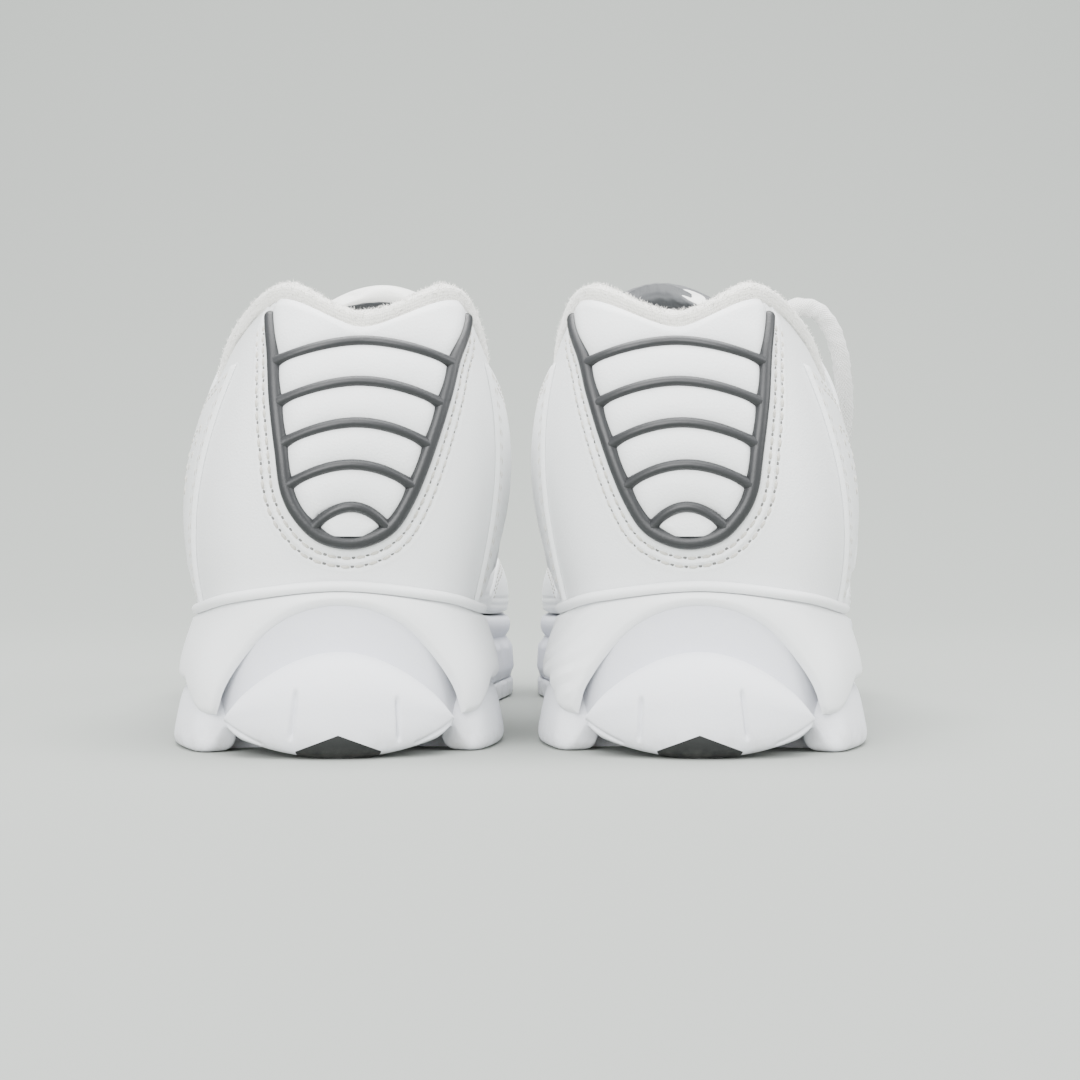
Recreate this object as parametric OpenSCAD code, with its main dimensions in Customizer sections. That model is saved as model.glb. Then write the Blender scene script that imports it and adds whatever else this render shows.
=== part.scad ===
// A pair of leather cheer shoes: chunky low trainers with a moulded rubber clip on the heel.
// Each shoe is drawn in its own frame: x towards the outer side of the foot, y from heel to toe,
// z up from the ground. The left shoe is the mirror image of the right one.

/* [Shoe] */
// Length of the outsole from heel to toe
shoe_length = 268; // [223:1:325]
// Width of the upper across the ball of the foot
ball_width = 86; // [71:1:104]
// Height of the leather at the back of the heel, above the midsole
heel_rise = 55; // [45:1:66]
// Gap between the uppers of the two shoes at the heel
pair_gap = 5.4; // [5:0.2:60]
// How far each toe points outwards, in degrees
toe_out = 4.1; // [3:0.1:8]

/* [Sole] */
// Height of the midsole's top edge at the heel
heel_lift = 36; // [30:1:44]
// Height of the midsole's top edge under the ball
ball_lift = 24.5; // [20:0.5:30]
// Thickness of the rubber outsole
outsole_t = 5; // [4:0.5:6]
// How far the toe of the sole rises off the ground
toe_spring = 8; // [4:1:10]
// How far the sole stands out past the upper
sole_flare = 3; // [2:0.5:4]
// Width of the dark rubber inlay under the heel
inlay_w = 19; // [12:1:24]

/* [Upper] */
// Thickness of the leather panels
leather_t = 1.5; // [1:0.1:2]
// Thickness of the fabric lining with its foam
lining_t = 2; // [1.5:0.1:2.5]
// Thickness of the stiff heel counter
counter_t = 1; // [0.8:0.1:1.4]
// Thickness of the padded tongue
tongue_t = 5.5; // [4:0.5:7]
// Height of the terry roll on the collar
roll_h = 5; // [4:0.5:7]
// How far the collar padding stands in over the ankle
collar_pad = 6; // [4:0.5:7]

/* [Heel clip] */
// Diameter of the clip's frame
clip_d = 3.2; // [2.4:0.2:4]
// Diameter of the clip's ribs
rib_d = 2.2; // [1.6:0.2:2.8]
// Number of ribs
ribs = 5; // [3:1:5]

/* [Lace] */
// Width of the oval lace
lace_d = 5.5; // [4:0.5:6]
// Number of eyelets on each side
eyelets_n = 6; // [5:1:7]

/* [Hidden] */
SIDES = ["left", "right"];
PIECES = ["outsole_heel", "outsole_inlay", "outsole_fore", "midsole_rear", "midsole_fore",
    "heel_cradle", "shank", "insole_board", "sockliner", "heel_counter", "lining",
    "toe_lining", "heel_quarter", "quarter_lateral", "quarter_medial", "eyestay",
    "vamp_crease", "vamp_front", "toe_cap", "heel_pad", "heel_clip", "collar",
    "tongue_base", "tongue_top", "eyelets", "lace", "lace_knot", "lace_bow_lateral",
    "lace_bow_medial", "aglets"];

// Stations run round the shoe: 0 is the back of the heel, 10 the toe, + lateral and - medial.
// Featherline in plan, where the upper meets the midsole, on a last 268 long and 86 wide.
LAST_LENGTH = 268;
LAST_WIDTH = 86;
foot_lateral = [[0, 9], [20, 15], [30, 36], [32, 65], [33.5, 98], [36.5, 132], [40.5, 162],
    [41.5, 192], [34.5, 225], [18, 250], [-8, 262]];
foot_medial = [[0, 9], [-20, 15], [-29, 36], [-31, 65], [-31.5, 98], [-34, 132], [-39.5, 165],
    [-44.5, 193], [-42, 225], [-30, 250], [-8, 262]];
// Height of the featherline as a share of the way from ball_lift to heel_lift.
foot_lift = [1, 0.8, 0.53, 0.43, 0.3, 0.17, 0.04, 0, 0.09, 0.3, 0.48];
// Top edge of the leather, its height above the midsole's heel on a heel 55 high.
HEEL_RISE = 55;
top_lateral = [[-5, 12, 55], [12, 18, 61.5], [23.5, 42, 55], [29, 68, 46], [23.5, 97, 60],
    [17, 128, 48], [13.5, 156, 35], [0, 177, 25.5]];
top_medial = [[-5, 12, 55], [-23.5, 18, 61.5], [-31, 42, 56], [-33, 68, 48], [-25, 97, 60],
    [-18, 128, 48], [-13.5, 156, 35], [0, 177, 25.5]];
// Crest of the vamp in front of the throat.
ridge = [[0, 156, 35], [0, 177, 25.5], [-2, 200, 19.5], [-4, 218, 16.5], [-6, 233, 14]];
// Outward swell of the side low down and high up, spread of the top, and height of the handles.
swell_low = [5, 5.5, 6, 6, 6, 4, 3, 4, 5, 6, 6];
swell_high = [9, 9, 10, 10, 11, 8, 5, 3, 2, 1, 1];
spread = [0, 0, 0, 0.05, 0.3, 0.4, 0.5, 0.5, 0.5, 0.5, 0.55];
low_share = [0.33, 0.33, 0.33, 0.33, 0.35, 0.4, 0.45, 0.5, 0.55, 0.6, 0.6];
high_share = [0.33, 0.33, 0.33, 0.35, 0.12, 0.08, 0.05, 0, 0, 0, 0];
THROAT = 7;
TOE = 10;

HEEL_WIDTH = 70;

grow_x = ball_width / LAST_WIDTH;
grow_y = shoe_length / LAST_LENGTH;
grow_z = heel_rise / HEEL_RISE;
pair_pitch = HEEL_WIDTH * grow_x + pair_gap;
fit_gap = 0.15;
SOLE_PITCH = 11.5;
// The cement line is thicker under a steeper sole, where the upper meets it at more of a slant.
cement_gap = 0.1 + 0.3 * (heel_lift - ball_lift) / SOLE_PITCH;
liner_out = -leather_t - counter_t - 3 * fit_gap;
liner_in = liner_out - lining_t;
overlay_in = 0.3;
overlay_out = overlay_in + leather_t;
flex_y = 195 * grow_y;
flex_gap = 0.3;
CREASE_REAR = 7;
CREASE_FRONT = 8;
SEAM = 0.03;
STEP_AWAY = 0.02;
CREST_V = 0.95;

function xy(p) = [p[0], p[1]];
function unit(a) = a / norm(a);
function mix(a, b, t) = a + (b - a) * t;
function spline(a, b, c, d, f) =
    0.5 * (2 * b + (c - a) * f + (2 * a - 5 * b + 4 * c - d) * f * f
        + (3 * b - a - 3 * c + d) * f * f * f);
// Value of a table at a real index; first and last are the neighbours past its two ends.
function along(p, t, first, last) =
    let (n = len(p) - 1, i = max(0, min(floor(t), n - 1)))
    spline(i > 0 ? p[i - 1] : first, p[i], p[i + 1], i + 2 > n ? last : p[i + 2], t - i);
function level(p, t) = along(p, t, p[1], p[len(p) - 2]);

// The toe joins the last stations of the two sides, so the featherline is a closed loop.
function around(u) = u > TOE ? u - 2 * TOE : u < -TOE ? u + 2 * TOE : u;
function foot_plan(u) =
    let (w = abs(u), mine = u < 0 ? foot_medial : foot_lateral,
        other = u < 0 ? foot_lateral : foot_medial,
        p = along(mine, w, other[1], other[TOE - 1]))
    [p[0] * grow_x, p[1] * grow_y];
function foot_at(uu) =
    let (u = around(uu), p = foot_plan(u))
    [p[0], p[1], mix(ball_lift, heel_lift, level(foot_lift, abs(u)))];
function top_raw(uu) =
    let (u = around(uu), w = abs(u), mine = u < 0 ? top_medial : top_lateral,
        other = u < 0 ? top_lateral : top_medial)
    w >= THROAT ? along([for (i = [1:4]) ridge[i]], w - THROAT, ridge[0], ridge[4])
        : along(mine, w, other[1], other[6]);
function top_at(u) =
    let (p = top_raw(u)) [p[0] * grow_x, p[1] * grow_y, heel_lift + p[2] * grow_z];

// Outward direction in plan at a station.
function outward(u) =
    let (t = xy(foot_at(u + STEP_AWAY)) - xy(foot_at(u - STEP_AWAY))) unit([t[1], -t[0]]);
// A point of the leather's outer face: u round the shoe, v from the featherline up to the top.
function shell(uu, v) =
    let (u = around(uu), w = abs(u), f = foot_at(u), t = top_at(u), o = outward(u),
        h = t[2] - f[2], s = level(spread, w), low = level(swell_low, w),
        high = level(swell_high, w),
        p1 = f + [o[0] * low, o[1] * low, h * level(low_share, w)],
        p2 = t + [(f[0] - t[0]) * s + o[0] * high, (f[1] - t[1]) * s + o[1] * high,
            -h * level(high_share, w)])
    pow(1 - v, 3) * f + 3 * pow(1 - v, 2) * v * p1 + 3 * (1 - v) * v * v * p2 + pow(v, 3) * t;
function tilt(u, v) =
    let (along_u = shell(u + STEP_AWAY, v) - shell(u - STEP_AWAY, v),
        up_v = shell(u, min(1, v + STEP_AWAY)) - shell(u, max(0, v - STEP_AWAY)))
    unit(cross(along_u, up_v));
function face_out(u, v) =
    let (n = v >= 1 && abs(u) >= THROAT ? tilt(u, CREST_V) + tilt(-u, CREST_V) : tilt(u, v))
    v <= 0 ? unit([n[0], n[1], 0]) : unit(n);
// The same point moved off along the surface's normal.
function layer(u, v, off) = shell(u, v) + face_out(u, v) * off;

ROUND = concat([for (u = [-10:0.5:-2.5]) u], [for (u = [-2:0.25:2]) u], [for (u = [2.5:0.5:10]) u]);
LEVELS = 6;
function stations(u0, u1) = [for (u = ROUND) if (u >= u0 && u <= u1) u];
function levels(v0, v1, n) = [for (i = [0:n]) mix(v0, v1, i / n)];

// A closed slab between two grids of points, a outside and b inside, both [station][level].
// fold joins the last row to itself, as at the toe.
module slab(a, b, fold = false) {
    m = len(a) - 1;
    n = len(a[0]) - 1;
    w = n + 1;
    size = (m + 1) * w;
    function at(i, j) = i * w + (fold && i == m && j > n / 2 ? n - j : j);
    function pair(p, q, r, s) = [[p, q, r], [p, r, s]];
    outer = [for (i = [0:m - 1]) for (j = [0:n - 1])
        each pair(at(i, j), at(i, j + 1), at(i + 1, j + 1), at(i + 1, j))];
    inner = [for (f = outer) [f[0] + size, f[2] + size, f[1] + size]];
    low = [for (i = [0:m - 1])
        each pair(at(i, 0), at(i + 1, 0), at(i + 1, 0) + size, at(i, 0) + size)];
    high = [for (i = [0:m - 1])
        each pair(at(i + 1, n), at(i, n), at(i, n) + size, at(i + 1, n) + size)];
    start = [for (j = [0:n - 1])
        each pair(at(0, j + 1), at(0, j), at(0, j) + size, at(0, j + 1) + size)];
    end = fold ? [] : [for (j = [0:n - 1])
        each pair(at(m, j), at(m, j + 1), at(m, j + 1) + size, at(m, j) + size)];
    points = concat([for (row = a) each row], [for (row = b) each row]);
    polyhedron(points, concat(outer, inner, low, high, start, end));
}
// A panel of the upper between two stations, two levels and two depths.
module panel(u0, u1, v0, v1, inside, outside, n = LEVELS) {
    us = stations(u0, u1);
    vs = levels(v0, v1, n);
    slab([for (u = us) [for (v = vs) layer(u, v, outside)]],
        [for (u = us) [for (v = vs) layer(u, v, inside)]]);
}
// A panel over the front of the foot, from the lateral featherline over the crest to the medial one.
module bonnet(w0, w1, v1, inside, outside, n = LEVELS) {
    ws = concat([for (w = stations(w0, w1)) if (w < w1) w], [w1]);
    vs = levels(0, v1, n);
    function row(w, off) = concat([for (v = vs) layer(w, v, off)],
        [for (i = [1:n]) layer(-w, vs[n - i], off)]);
    slab([for (w = ws) row(w, outside)], [for (w = ws) row(w, inside)], w1 >= TOE);
}
// Points of a smooth line through a route, n to each leg.
function smooth(p, n) =
    let (m = len(p) - 1)
    concat([for (i = [0:m - 1]) for (k = [0:n - 1])
        spline(p[max(i - 1, 0)], p[i], p[i + 1], p[min(i + 2, m)], k / n)], [p[m]]);
// Cross directions carried along a line without twist.
function carried(p, i, last) =
    i >= len(p) ? [] :
    let (t = unit(p[min(i + 1, len(p) - 1)] - p[max(i - 1, 0)]),
        n = unit(last - t * (last * t)))
    concat([[n, cross(t, n)]], carried(p, i + 1, n));
// A closed round tube along a line.
module tube(p, d, sides = 8, first = [0, 0, 1]) {
    fr = carried(p, 0, first);
    m = len(p) - 1;
    points = [for (i = [0:m]) for (k = [0:sides - 1])
        let (a = 360 * k / sides) p[i] + (fr[i][0] * cos(a) + fr[i][1] * sin(a)) * d / 2];
    walls = [for (i = [0:m - 1]) for (k = [0:sides - 1])
        let (a = i * sides + k, b = i * sides + (k + 1) % sides)
        each [[a, a + sides, b + sides], [a, b + sides, b]]];
    caps = [[for (k = [0:sides - 1]) k],
        [for (k = [0:sides - 1]) m * sides + sides - 1 - k]];
    polyhedron(points, concat(walls, caps));
}

// Heel-to-toe line of the featherline's height, for the midsole's top and what lies on it.
function lift_line(drop) = [for (u = [0:0.5:TOE])
    let (f = foot_at(u), g = foot_at(-u)) [(f[1] + g[1]) / 2, f[2] - drop]];
// Outline of the shoe in plan, out past the featherline by a margin.
function plan(out) = [for (u = [for (r = ROUND) if (r < TOE) r])
    xy(foot_at(u)) + outward(u) * out];
front_edge = foot_at(TOE)[1] + sole_flare;
FAR = 400;
// Turns a y-z outline into a bar across the shoe.
module across(outline, half = FAR) {
    translate([-half, 0, 0])
        rotate([90, 0, 90])
            linear_extrude(2 * half) polygon(outline);
}
// Turns an x-z outline into a bar along the shoe, between two y's.
module lengthwise(outline, y0, y1) {
    translate([0, y1, 0])
        rotate([90, 0, 0])
            linear_extrude(y1 - y0) polygon(outline);
}
// Everything between two y's.
module span(y0, y1) {
    translate([-FAR / 2, y0, -FAR / 2]) cube([FAR, y1 - y0, FAR]);
}
// Underside of the sole: flat from the heel to the ball, then up to the toe.
spring_start = 212 * grow_y;
function underside(up) = [[-FAR, up], [spring_start, up],
    [mix(spring_start, front_edge, 0.5), up + toe_spring * 0.3], [front_edge, up + toe_spring],
    [FAR, up + toe_spring * 3]];
// A slice of the sole between the underside and a drop below the featherline.
module sole_body(out, up, drop) {
    line = lift_line(drop);
    last = line[len(line) - 1];
    intersection() {
        linear_extrude(FAR) polygon(plan(out));
        across(concat(underside(up), [[FAR, last[1]]],
            [for (i = [len(line) - 1:-1:0]) line[i]], [[-FAR, line[0][1]]]));
    }
}
core_out = 1;
heel_depth = 62 * grow_y;
heel_round = 24 * grow_y;
bumper_back = 34 * grow_x;
bumper_crest = 22.3;
bumper_half = 26 * grow_x;
bumper_end = 9;
bumper_low = 7.5;
arch_r = 25.6 * grow_x;
arch_z = 6.4;
rigger_w = 6.5;
rigger_h = 14.5;
slab_start = 15 * grow_y;
// Lens between two arcs, as the rubber wraps up the back of the heel.
module heel_lens(y0, y1) {
    rise = bumper_crest - bumper_end;
    top_r = (bumper_half * bumper_half + rise * rise) / (2 * rise);
    low_r = (bumper_half * bumper_half + bumper_low * bumper_low) / (2 * bumper_low);
    intersection() {
        translate([0, y0, bumper_crest - top_r])
            rotate([-90, 0, 0]) cylinder(h = y1 - y0, r = top_r, $fn = 96);
        translate([0, y0, low_r])
            rotate([-90, 0, 0]) cylinder(h = y1 - y0, r = low_r, $fn = 96);
    }
}
inlay_edge = 1.4;
inlay_crown = 5.2;
inlay_end = heel_depth + 8;
module inlay_bar(grow) {
    w = inlay_w / 2 + grow;
    lengthwise([[-w, -1], [w, -1], [w, inlay_edge + grow], [0, inlay_crown + grow],
        [-w, inlay_edge + grow]], -1, inlay_end + grow);
}
module outsole_heel() color("whitesmoke") difference() {
    union() {
        intersection() {
            sole_body(sole_flare, 0, 0);
            across([[slab_start, -1], [FAR, -1], [FAR, outsole_t], [slab_start, outsole_t]]);
            span(0, flex_y - flex_gap / 2);
        }
        difference() {
            intersection() {
                translate([0, bumper_back, 0]) cylinder(h = 40, r = bumper_back, $fn = 120);
                heel_lens(-5, heel_round);
            }
            linear_extrude(FAR) polygon(plan(core_out + fit_gap));
        }
        for (s = [-1, 1])
            difference() {
                intersection() {
                    linear_extrude(rigger_h) polygon(plan(rigger_w));
                    span(heel_round, heel_depth);
                    translate([s * FAR / 2, 0, 0]) cube(FAR, center = true);
                }
                translate([0, 0, outsole_t - 0.01])
                    linear_extrude(FAR) polygon(plan(sole_flare + fit_gap));
            }
    }
    inlay_bar(fit_gap);
}
module outsole_inlay() color("dimgray") intersection() {
    inlay_bar(0);
    translate([0, bumper_back, 0]) cylinder(h = FAR, r = bumper_back - cement_gap, $fn = 120);
    translate([-FAR, -FAR, 0]) cube(2 * FAR);
}
module outsole_fore() color("whitesmoke") intersection() {
    difference() {
        sole_body(sole_flare, 0, 0);
        intersection() {
            linear_extrude(FAR) polygon(plan(FAR / 8));
            across(concat(underside(outsole_t), [[FAR, FAR], [-FAR, FAR]]));
        }
    }
    span(flex_y + flex_gap / 2, FAR);
}
module midsole(y0, y1, out) {
    intersection() {
        sole_body(out, outsole_t + fit_gap, cement_gap);
        span(y0, y1);
    }
}
cradle_front = 84 * grow_y;
shank_from = 70 * grow_y;
shank_to = 150 * grow_y;
shank_half = 14 * grow_x;
shank_t = 2;
module shank_bar(grow) {
    translate([-shank_half - grow, shank_from - grow, outsole_t + fit_gap - grow])
        cube([2 * (shank_half + grow), shank_to - shank_from + 2 * grow, shank_t + 2 * grow]);
}
module midsole_rear() color("lavender") difference() {
    union() {
        midsole(-FAR, cradle_front + 2, core_out);
        midsole(cradle_front + 1, flex_y - flex_gap / 2, sole_flare);
    }
    shank_bar(fit_gap);
}
module midsole_fore() color("lavender")
    midsole(flex_y + flex_gap / 2, FAR, sole_flare);
module shank() color("silver") shank_bar(0);
cradle_low = 9.5;
module heel_cradle() color("white") difference() {
    intersection() {
        sole_body(sole_flare, 0, -1.5);
        span(-FAR, cradle_front - fit_gap);
        across([[-FAR, cradle_low], [bumper_back, cradle_low], [cradle_front, cradle_low + 6],
            [cradle_front, FAR], [-FAR, FAR]]);
    }
    translate([0, 0, -1]) linear_extrude(FAR) polygon(plan(core_out + fit_gap));
    translate([0, -FAR / 2, arch_z])
        rotate([-90, 0, 0]) cylinder(h = FAR / 2 + bumper_back, r = arch_r, $fn = 96);
}
board_in = 0.25 - liner_in;
board_t = 2;
sock_t = 3.5;
module bed(in, low, high, y0, y1) {
    a = lift_line(-low);
    b = lift_line(-high);
    intersection() {
        linear_extrude(FAR) polygon(plan(-in));
        across(concat(a, [for (i = [len(b) - 1:-1:0]) b[i]]));
        span(y0, y1);
    }
}
board_end = 176 * grow_y;
module insole_board() color("tan") bed(board_in, 0, board_t, -FAR, board_end);
module sockliner() color("gainsboro")
    bed(board_in, board_t + fit_gap, board_t + sock_t, -FAR, FAR);
module heel_counter() color("burlywood")
    panel(-3, 3, 0, 4 / LEVELS, -leather_t - counter_t - fit_gap, -leather_t - fit_gap, 4);
// The lining's two ends stop just short of each other at the throat.
module lining() {
    us = stations(-CREASE_REAR, CREASE_REAR);
    vs = levels(0, 1, LEVELS);
    function spot(u, v, off) = layer(u, v * (abs(u) >= THROAT ? 0.97 : 1), off);
    color("snow") slab([for (u = us) [for (v = vs) spot(u, v, liner_out)]],
        [for (u = us) [for (v = vs) spot(u, v, liner_in)]]);
}
module toe_lining() color("snow") bonnet(CREASE_FRONT, TOE, 1, liner_in, liner_out);
QUARTER_START = 2;
module heel_quarter() color("white") panel(-QUARTER_START, QUARTER_START, 0, 1, -leather_t, 0);
module quarter_lateral() color("white") panel(QUARTER_START, CREASE_REAR, 0, 1, -leather_t, 0);
module quarter_medial() color("white") panel(-CREASE_REAR, -QUARTER_START, 0, 1, -leather_t, 0);
EYESTAY_BACK = 4;
TOE_CAP_START = 8.5;
module eyestay() color("white") for (s = [-1, 1])
    panel(s < 0 ? -CREASE_REAR + 0.5 : EYESTAY_BACK, s < 0 ? -EYESTAY_BACK : CREASE_REAR - 0.5,
        4 / LEVELS, 1, overlay_in, overlay_out, 2);
module vamp_crease() color("white") bonnet(CREASE_REAR, CREASE_FRONT - SEAM, 1, -leather_t, 0);
module vamp_front() color("white") bonnet(CREASE_FRONT, TOE, 1, -leather_t, 0);
module toe_cap() color("white") bonnet(TOE_CAP_START, TOE, 1, overlay_in, overlay_out);

// Clip outline on the heel: height above the midsole's heel against station, on each side.
clip_lateral = [[9.8, -0.06], [11.3, 0.2], [15.5, 0.4], [20.7, 0.53], [29, 0.63],
    [39, 0.76], [50, 0.91], [59, 1.1]];
clip_medial = [[9.8, -0.06], [10.7, -0.28], [13.4, -0.45], [18.6, -0.56], [25, -0.64],
    [33, -0.72], [41.5, -0.81], [50, -0.93], [59, -1.22]];
RIB_LOW = 17.2;
RIB_HIGH = 51.8;
RIB_DROP = 4.4;
pad_in = overlay_in;
pad_out = pad_in + 1.2;
clip_off = clip_d / 2 + overlay_in + 0.05;
rib_off = pad_out + 0.25 + rib_d / 2;
// The level at which the shell at a station stands at a height above the midsole's heel.
function level_of(u, rise) =
    let (f = foot_at(u)[2], t = top_at(u)[2]) (heel_lift + rise * grow_z - f) / (t - f);
function on_heel(u, rise, off) = layer(u, level_of(u, rise), off);
function clip_edge(side, rise) = lookup(rise, side < 0 ? clip_medial : clip_lateral);
module heel_pad() {
    PAD_EDGE = 0.12;
    rises = [for (k = [0:7]) mix(14.5, 55.5, k / 7)];
    us = [for (k = [0:8]) k / 8];
    function spot(t, rise, off) =
        let (u = mix(clip_edge(-1, rise) + PAD_EDGE, clip_edge(1, rise) - PAD_EDGE, t),
            sag = rise > 50 ? 4 * (rise - 50) / 5.5 * (1 - pow(2 * t - 1, 2)) : 0)
        on_heel(u, rise - sag, off);
    color("white") slab([for (t = us) [for (r = rises) spot(t, r, pad_out)]],
        [for (t = us) [for (r = rises) spot(t, r, pad_in)]]);
}
module heel_clip() color("dimgray") {
    frame = concat([for (i = [len(clip_medial) - 1:-1:1]) clip_medial[i]], clip_lateral);
    tube([for (p = smooth(frame, 2)) on_heel(p[1], p[0], clip_off)], clip_d, 6, [0, -1, 0]);
    for (k = [0:ribs - 1]) {
        crown = mix(RIB_LOW, RIB_HIGH, k / (ribs - 1));
        a = clip_edge(-1, crown - RIB_DROP);
        b = clip_edge(1, crown - RIB_DROP);
        tube([for (t = [0:0.125:1])
            on_heel(mix(a, b, t), crown - RIB_DROP * pow(2 * t - 1, 2), rib_off)],
            rib_d, 6, [0, 0, 1]);
    }
}
COLLAR_END = 3.5;
// The collar is one padded band: up the inside of the lining, over the edge and down outside.
module collar() {
    us = stations(-COLLAR_END, COLLAR_END);
    back = liner_in - 0.3;
    function rim(u, off, up) = layer(u, 1, off) + [0, 0, up * roll_h / 5];
    function pad(u) = collar_pad * cos(80 * pow(abs(u) / COLLAR_END, 3));
    function over(u) = let (p = pad(u)) [layer(u, 4 / LEVELS, back - 0.6),
        layer(u, 4.6 / LEVELS, back - 0.7 * p), layer(u, 5.3 / LEVELS, back - p),
        rim(u, back - 0.8 * p, 0.3), rim(u, back - 0.4 * p, 3.6), rim(u, back / 2, 5),
        rim(u, -1, 4.6), rim(u, 0.5, 2.6), rim(u, 0.3, 0.5)];
    function under(u) = [layer(u, 3.9 / LEVELS, back), layer(u, 4.6 / LEVELS, back),
        layer(u, 5.3 / LEVELS, back), rim(u, back, 0), rim(u, back, 0.4),
        rim(u, back * 0.7, 0.35), rim(u, back * 0.45, 0.35), rim(u, back * 0.25, 0.35),
        rim(u, -0.4, 0.35)];
    color("ivory") slab([for (u = us) let (r = over(u)) [for (i = [8:-1:0]) r[i]]],
        [for (u = us) let (r = under(u)) [for (i = [8:-1:0]) r[i]]]);
}
tongue_out = liner_in - 0.6;
TONGUE_V = 5 / LEVELS;
TONGUE_RAISE = 2.2;
// Across the tongue at a station: under one eyestay, over the crest, under the other.
function tongue_row(w, off) =
    let (a = layer(w, 1, off), b = layer(-w, 1, off))
    concat([layer(w, TONGUE_V, off)],
        [for (t = [0:0.25:1]) mix(a, b, t) + [0, 0, TONGUE_RAISE * (1 - pow(2 * t - 1, 2))]],
        [layer(-w, TONGUE_V, off)]);
module tongue_base() color("white") {
    ws = stations(EYESTAY_BACK, CREASE_REAR - 0.5);
    slab([for (w = ws) tongue_row(w, tongue_out)],
        [for (w = ws) tongue_row(w, tongue_out - tongue_t)]);
}
tongue_root = tongue_row(EYESTAY_BACK, tongue_out)[3];
tongue_dir = [0, -0.7, 0.714];
tongue_front = [0, 0.714, 0.7];
tongue_fold_gap = 1.6;
tongue_len = 20;
TONGUE_LEAN = -6;
TONGUE_ROUND = 2.2;
TONGUE_CURL = 4;
module tongue_top() {
    rows = [[tongue_fold_gap, 19], [6, 19], [11, 17.5], [16.5, 14], [tongue_len, 7]];
    function spot(r, t, off) =
        let (x = rows[r][1] * t)
        tongue_root + tongue_dir * (rows[r][0] - (r > 2 ? TONGUE_ROUND * t * t : 0))
            + [x * grow_x + TONGUE_LEAN * rows[r][0] / tongue_len, 0, 0]
            + tongue_front * (off - TONGUE_CURL * pow(x / rows[2][1], 2));
    color("white") slab([for (r = [4:-1:0]) [for (t = [1:-0.25:-1]) spot(r, t, 0)]],
        [for (r = [4:-1:0]) [for (t = [1:-0.25:-1]) spot(r, t, -tongue_t)]]);
}
EYELET_V = 5.5 / LEVELS;
EYELET_FROM = 4.3;
EYELET_TO = 6.25;
function eyelet_w(k) = mix(EYELET_FROM, EYELET_TO, (eyelets_n - 1 - k) / (eyelets_n - 1));
ring_t = 0.8;
ring_r = 3.4;
hole_r = 2;
module eyelets() color("white") for (s = [-1, 1]) for (k = [0:eyelets_n - 1]) {
    w = s * eyelet_w(k);
    n = face_out(w, EYELET_V);
    translate(layer(w, EYELET_V, overlay_out + fit_gap))
        rotate([0, acos(n[2]), atan2(n[1], n[0])])
            difference() {
                cylinder(h = ring_t, r = ring_r, $fn = 24);
                translate([0, 0, -1]) cylinder(h = ring_t + 2, r = hole_r, $fn = 24);
            }
}
laced_d = 3.2;
lace_under = liner_in - 1.2;
lace_over = overlay_out + ring_t + laced_d / 2 + 0.2;
// Middle of the tongue between the throat's edges, and how high a crossing passes over it.
function crest(w, up) = mix(layer(w, 1, tongue_out), layer(-w, 1, tongue_out), 0.5)
    + [0, 0, TONGUE_RAISE + up];
function lace_leg(s, k) =
    let (here = s * eyelet_w(k), there = -s * eyelet_w(k + 1),
        middle = (abs(here) + abs(there)) / 2, up = s > 0 ? 6.4 : 2.6)
    [layer(here, EYELET_V, lace_under), layer(here, EYELET_V, lace_over),
        layer(here, 1, lace_over + 0.6), crest(middle, up + 1), layer(there, 1, lace_under)];
knot_at = crest(EYELET_FROM, 7) + [0, 2, 0];
// One half of the lace from the bottom bar up to the knot; it changes side at each crossing.
function lace_half(s) = concat(
    [for (k = [0:eyelets_n - 2]) each lace_leg(k % 2 == 0 ? s : -s, k)],
    let (w = (eyelets_n % 2 == 1 ? s : -s) * EYELET_FROM)
    [layer(w, EYELET_V, lace_under), layer(w, EYELET_V, lace_over),
        mix(layer(w, 1, lace_over + 1.6), knot_at, 0.75)]);
module lace() color("white") {
    left_half = lace_half(-1);
    tube(concat([for (i = [len(left_half) - 1:-1:0]) left_half[i]],
        [crest(EYELET_TO, -0.4)], lace_half(1)), laced_d, 6, [0, 1, 0]);
}
knot_r = 5.5;
module lace_knot() color("white") translate(knot_at) sphere(r = knot_r, $fn = 32);
// Routes of the bow's free laces, one high loop beside the ankle and three low ones; heights are
// above the midsole's heel.
bow_high = [[3, 106, 65], [9, 108, 64.5], [15, 109, 65], [20.5, 110, 67.5], [26, 111, 70.3],
    [32, 113, 68.2], [36, 116, 61], [38, 122, 51.5], [38.8, 131, 42], [37.8, 139, 35.8],
    [33.5, 146, 33], [28, 145, 39], [23, 137, 48], [16, 124, 56.5], [8, 112, 63], [0, 107, 66],
    [5, 111, 69], [13, 117, 68], [19, 119.5, 64.5], [22, 120.5, 60]];
bow_low = [[3, 106, 65], [8, 109, 65.5], [15, 117, 62], [21, 127, 55.5], [25.5, 138, 48.5],
    [27, 148, 41.5], [22.5, 154.5, 40], [16, 150, 46], [12, 138, 54], [8, 124, 60],
    [3, 112, 65.5], [0, 107, 66], [0, 114, 69], [1, 124, 65], [3, 136, 61], [5, 147, 56.5]];
function fitted(route, s) =
    [for (p = route) [s * p[0] * grow_x, p[1] * grow_y, heel_lift + p[2] * grow_z]];
function bow_line(side, outer) =
    smooth(fitted(outer && side == "right" ? bow_high : bow_low, outer ? 1 : -1), 2);
aglet_d = 4;
aglet_len = 16;
module bow(side, outer) color("white") tube(bow_line(side, outer), lace_d);
module aglet(side, outer) {
    line = bow_line(side, outer);
    m = len(line) - 1;
    n = unit(line[m] - line[m - 1]);
    translate(line[m])
        rotate([0, acos(n[2]), atan2(n[1], n[0])]) cylinder(h = aglet_len, d = aglet_d, $fn = 24);
}
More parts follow.
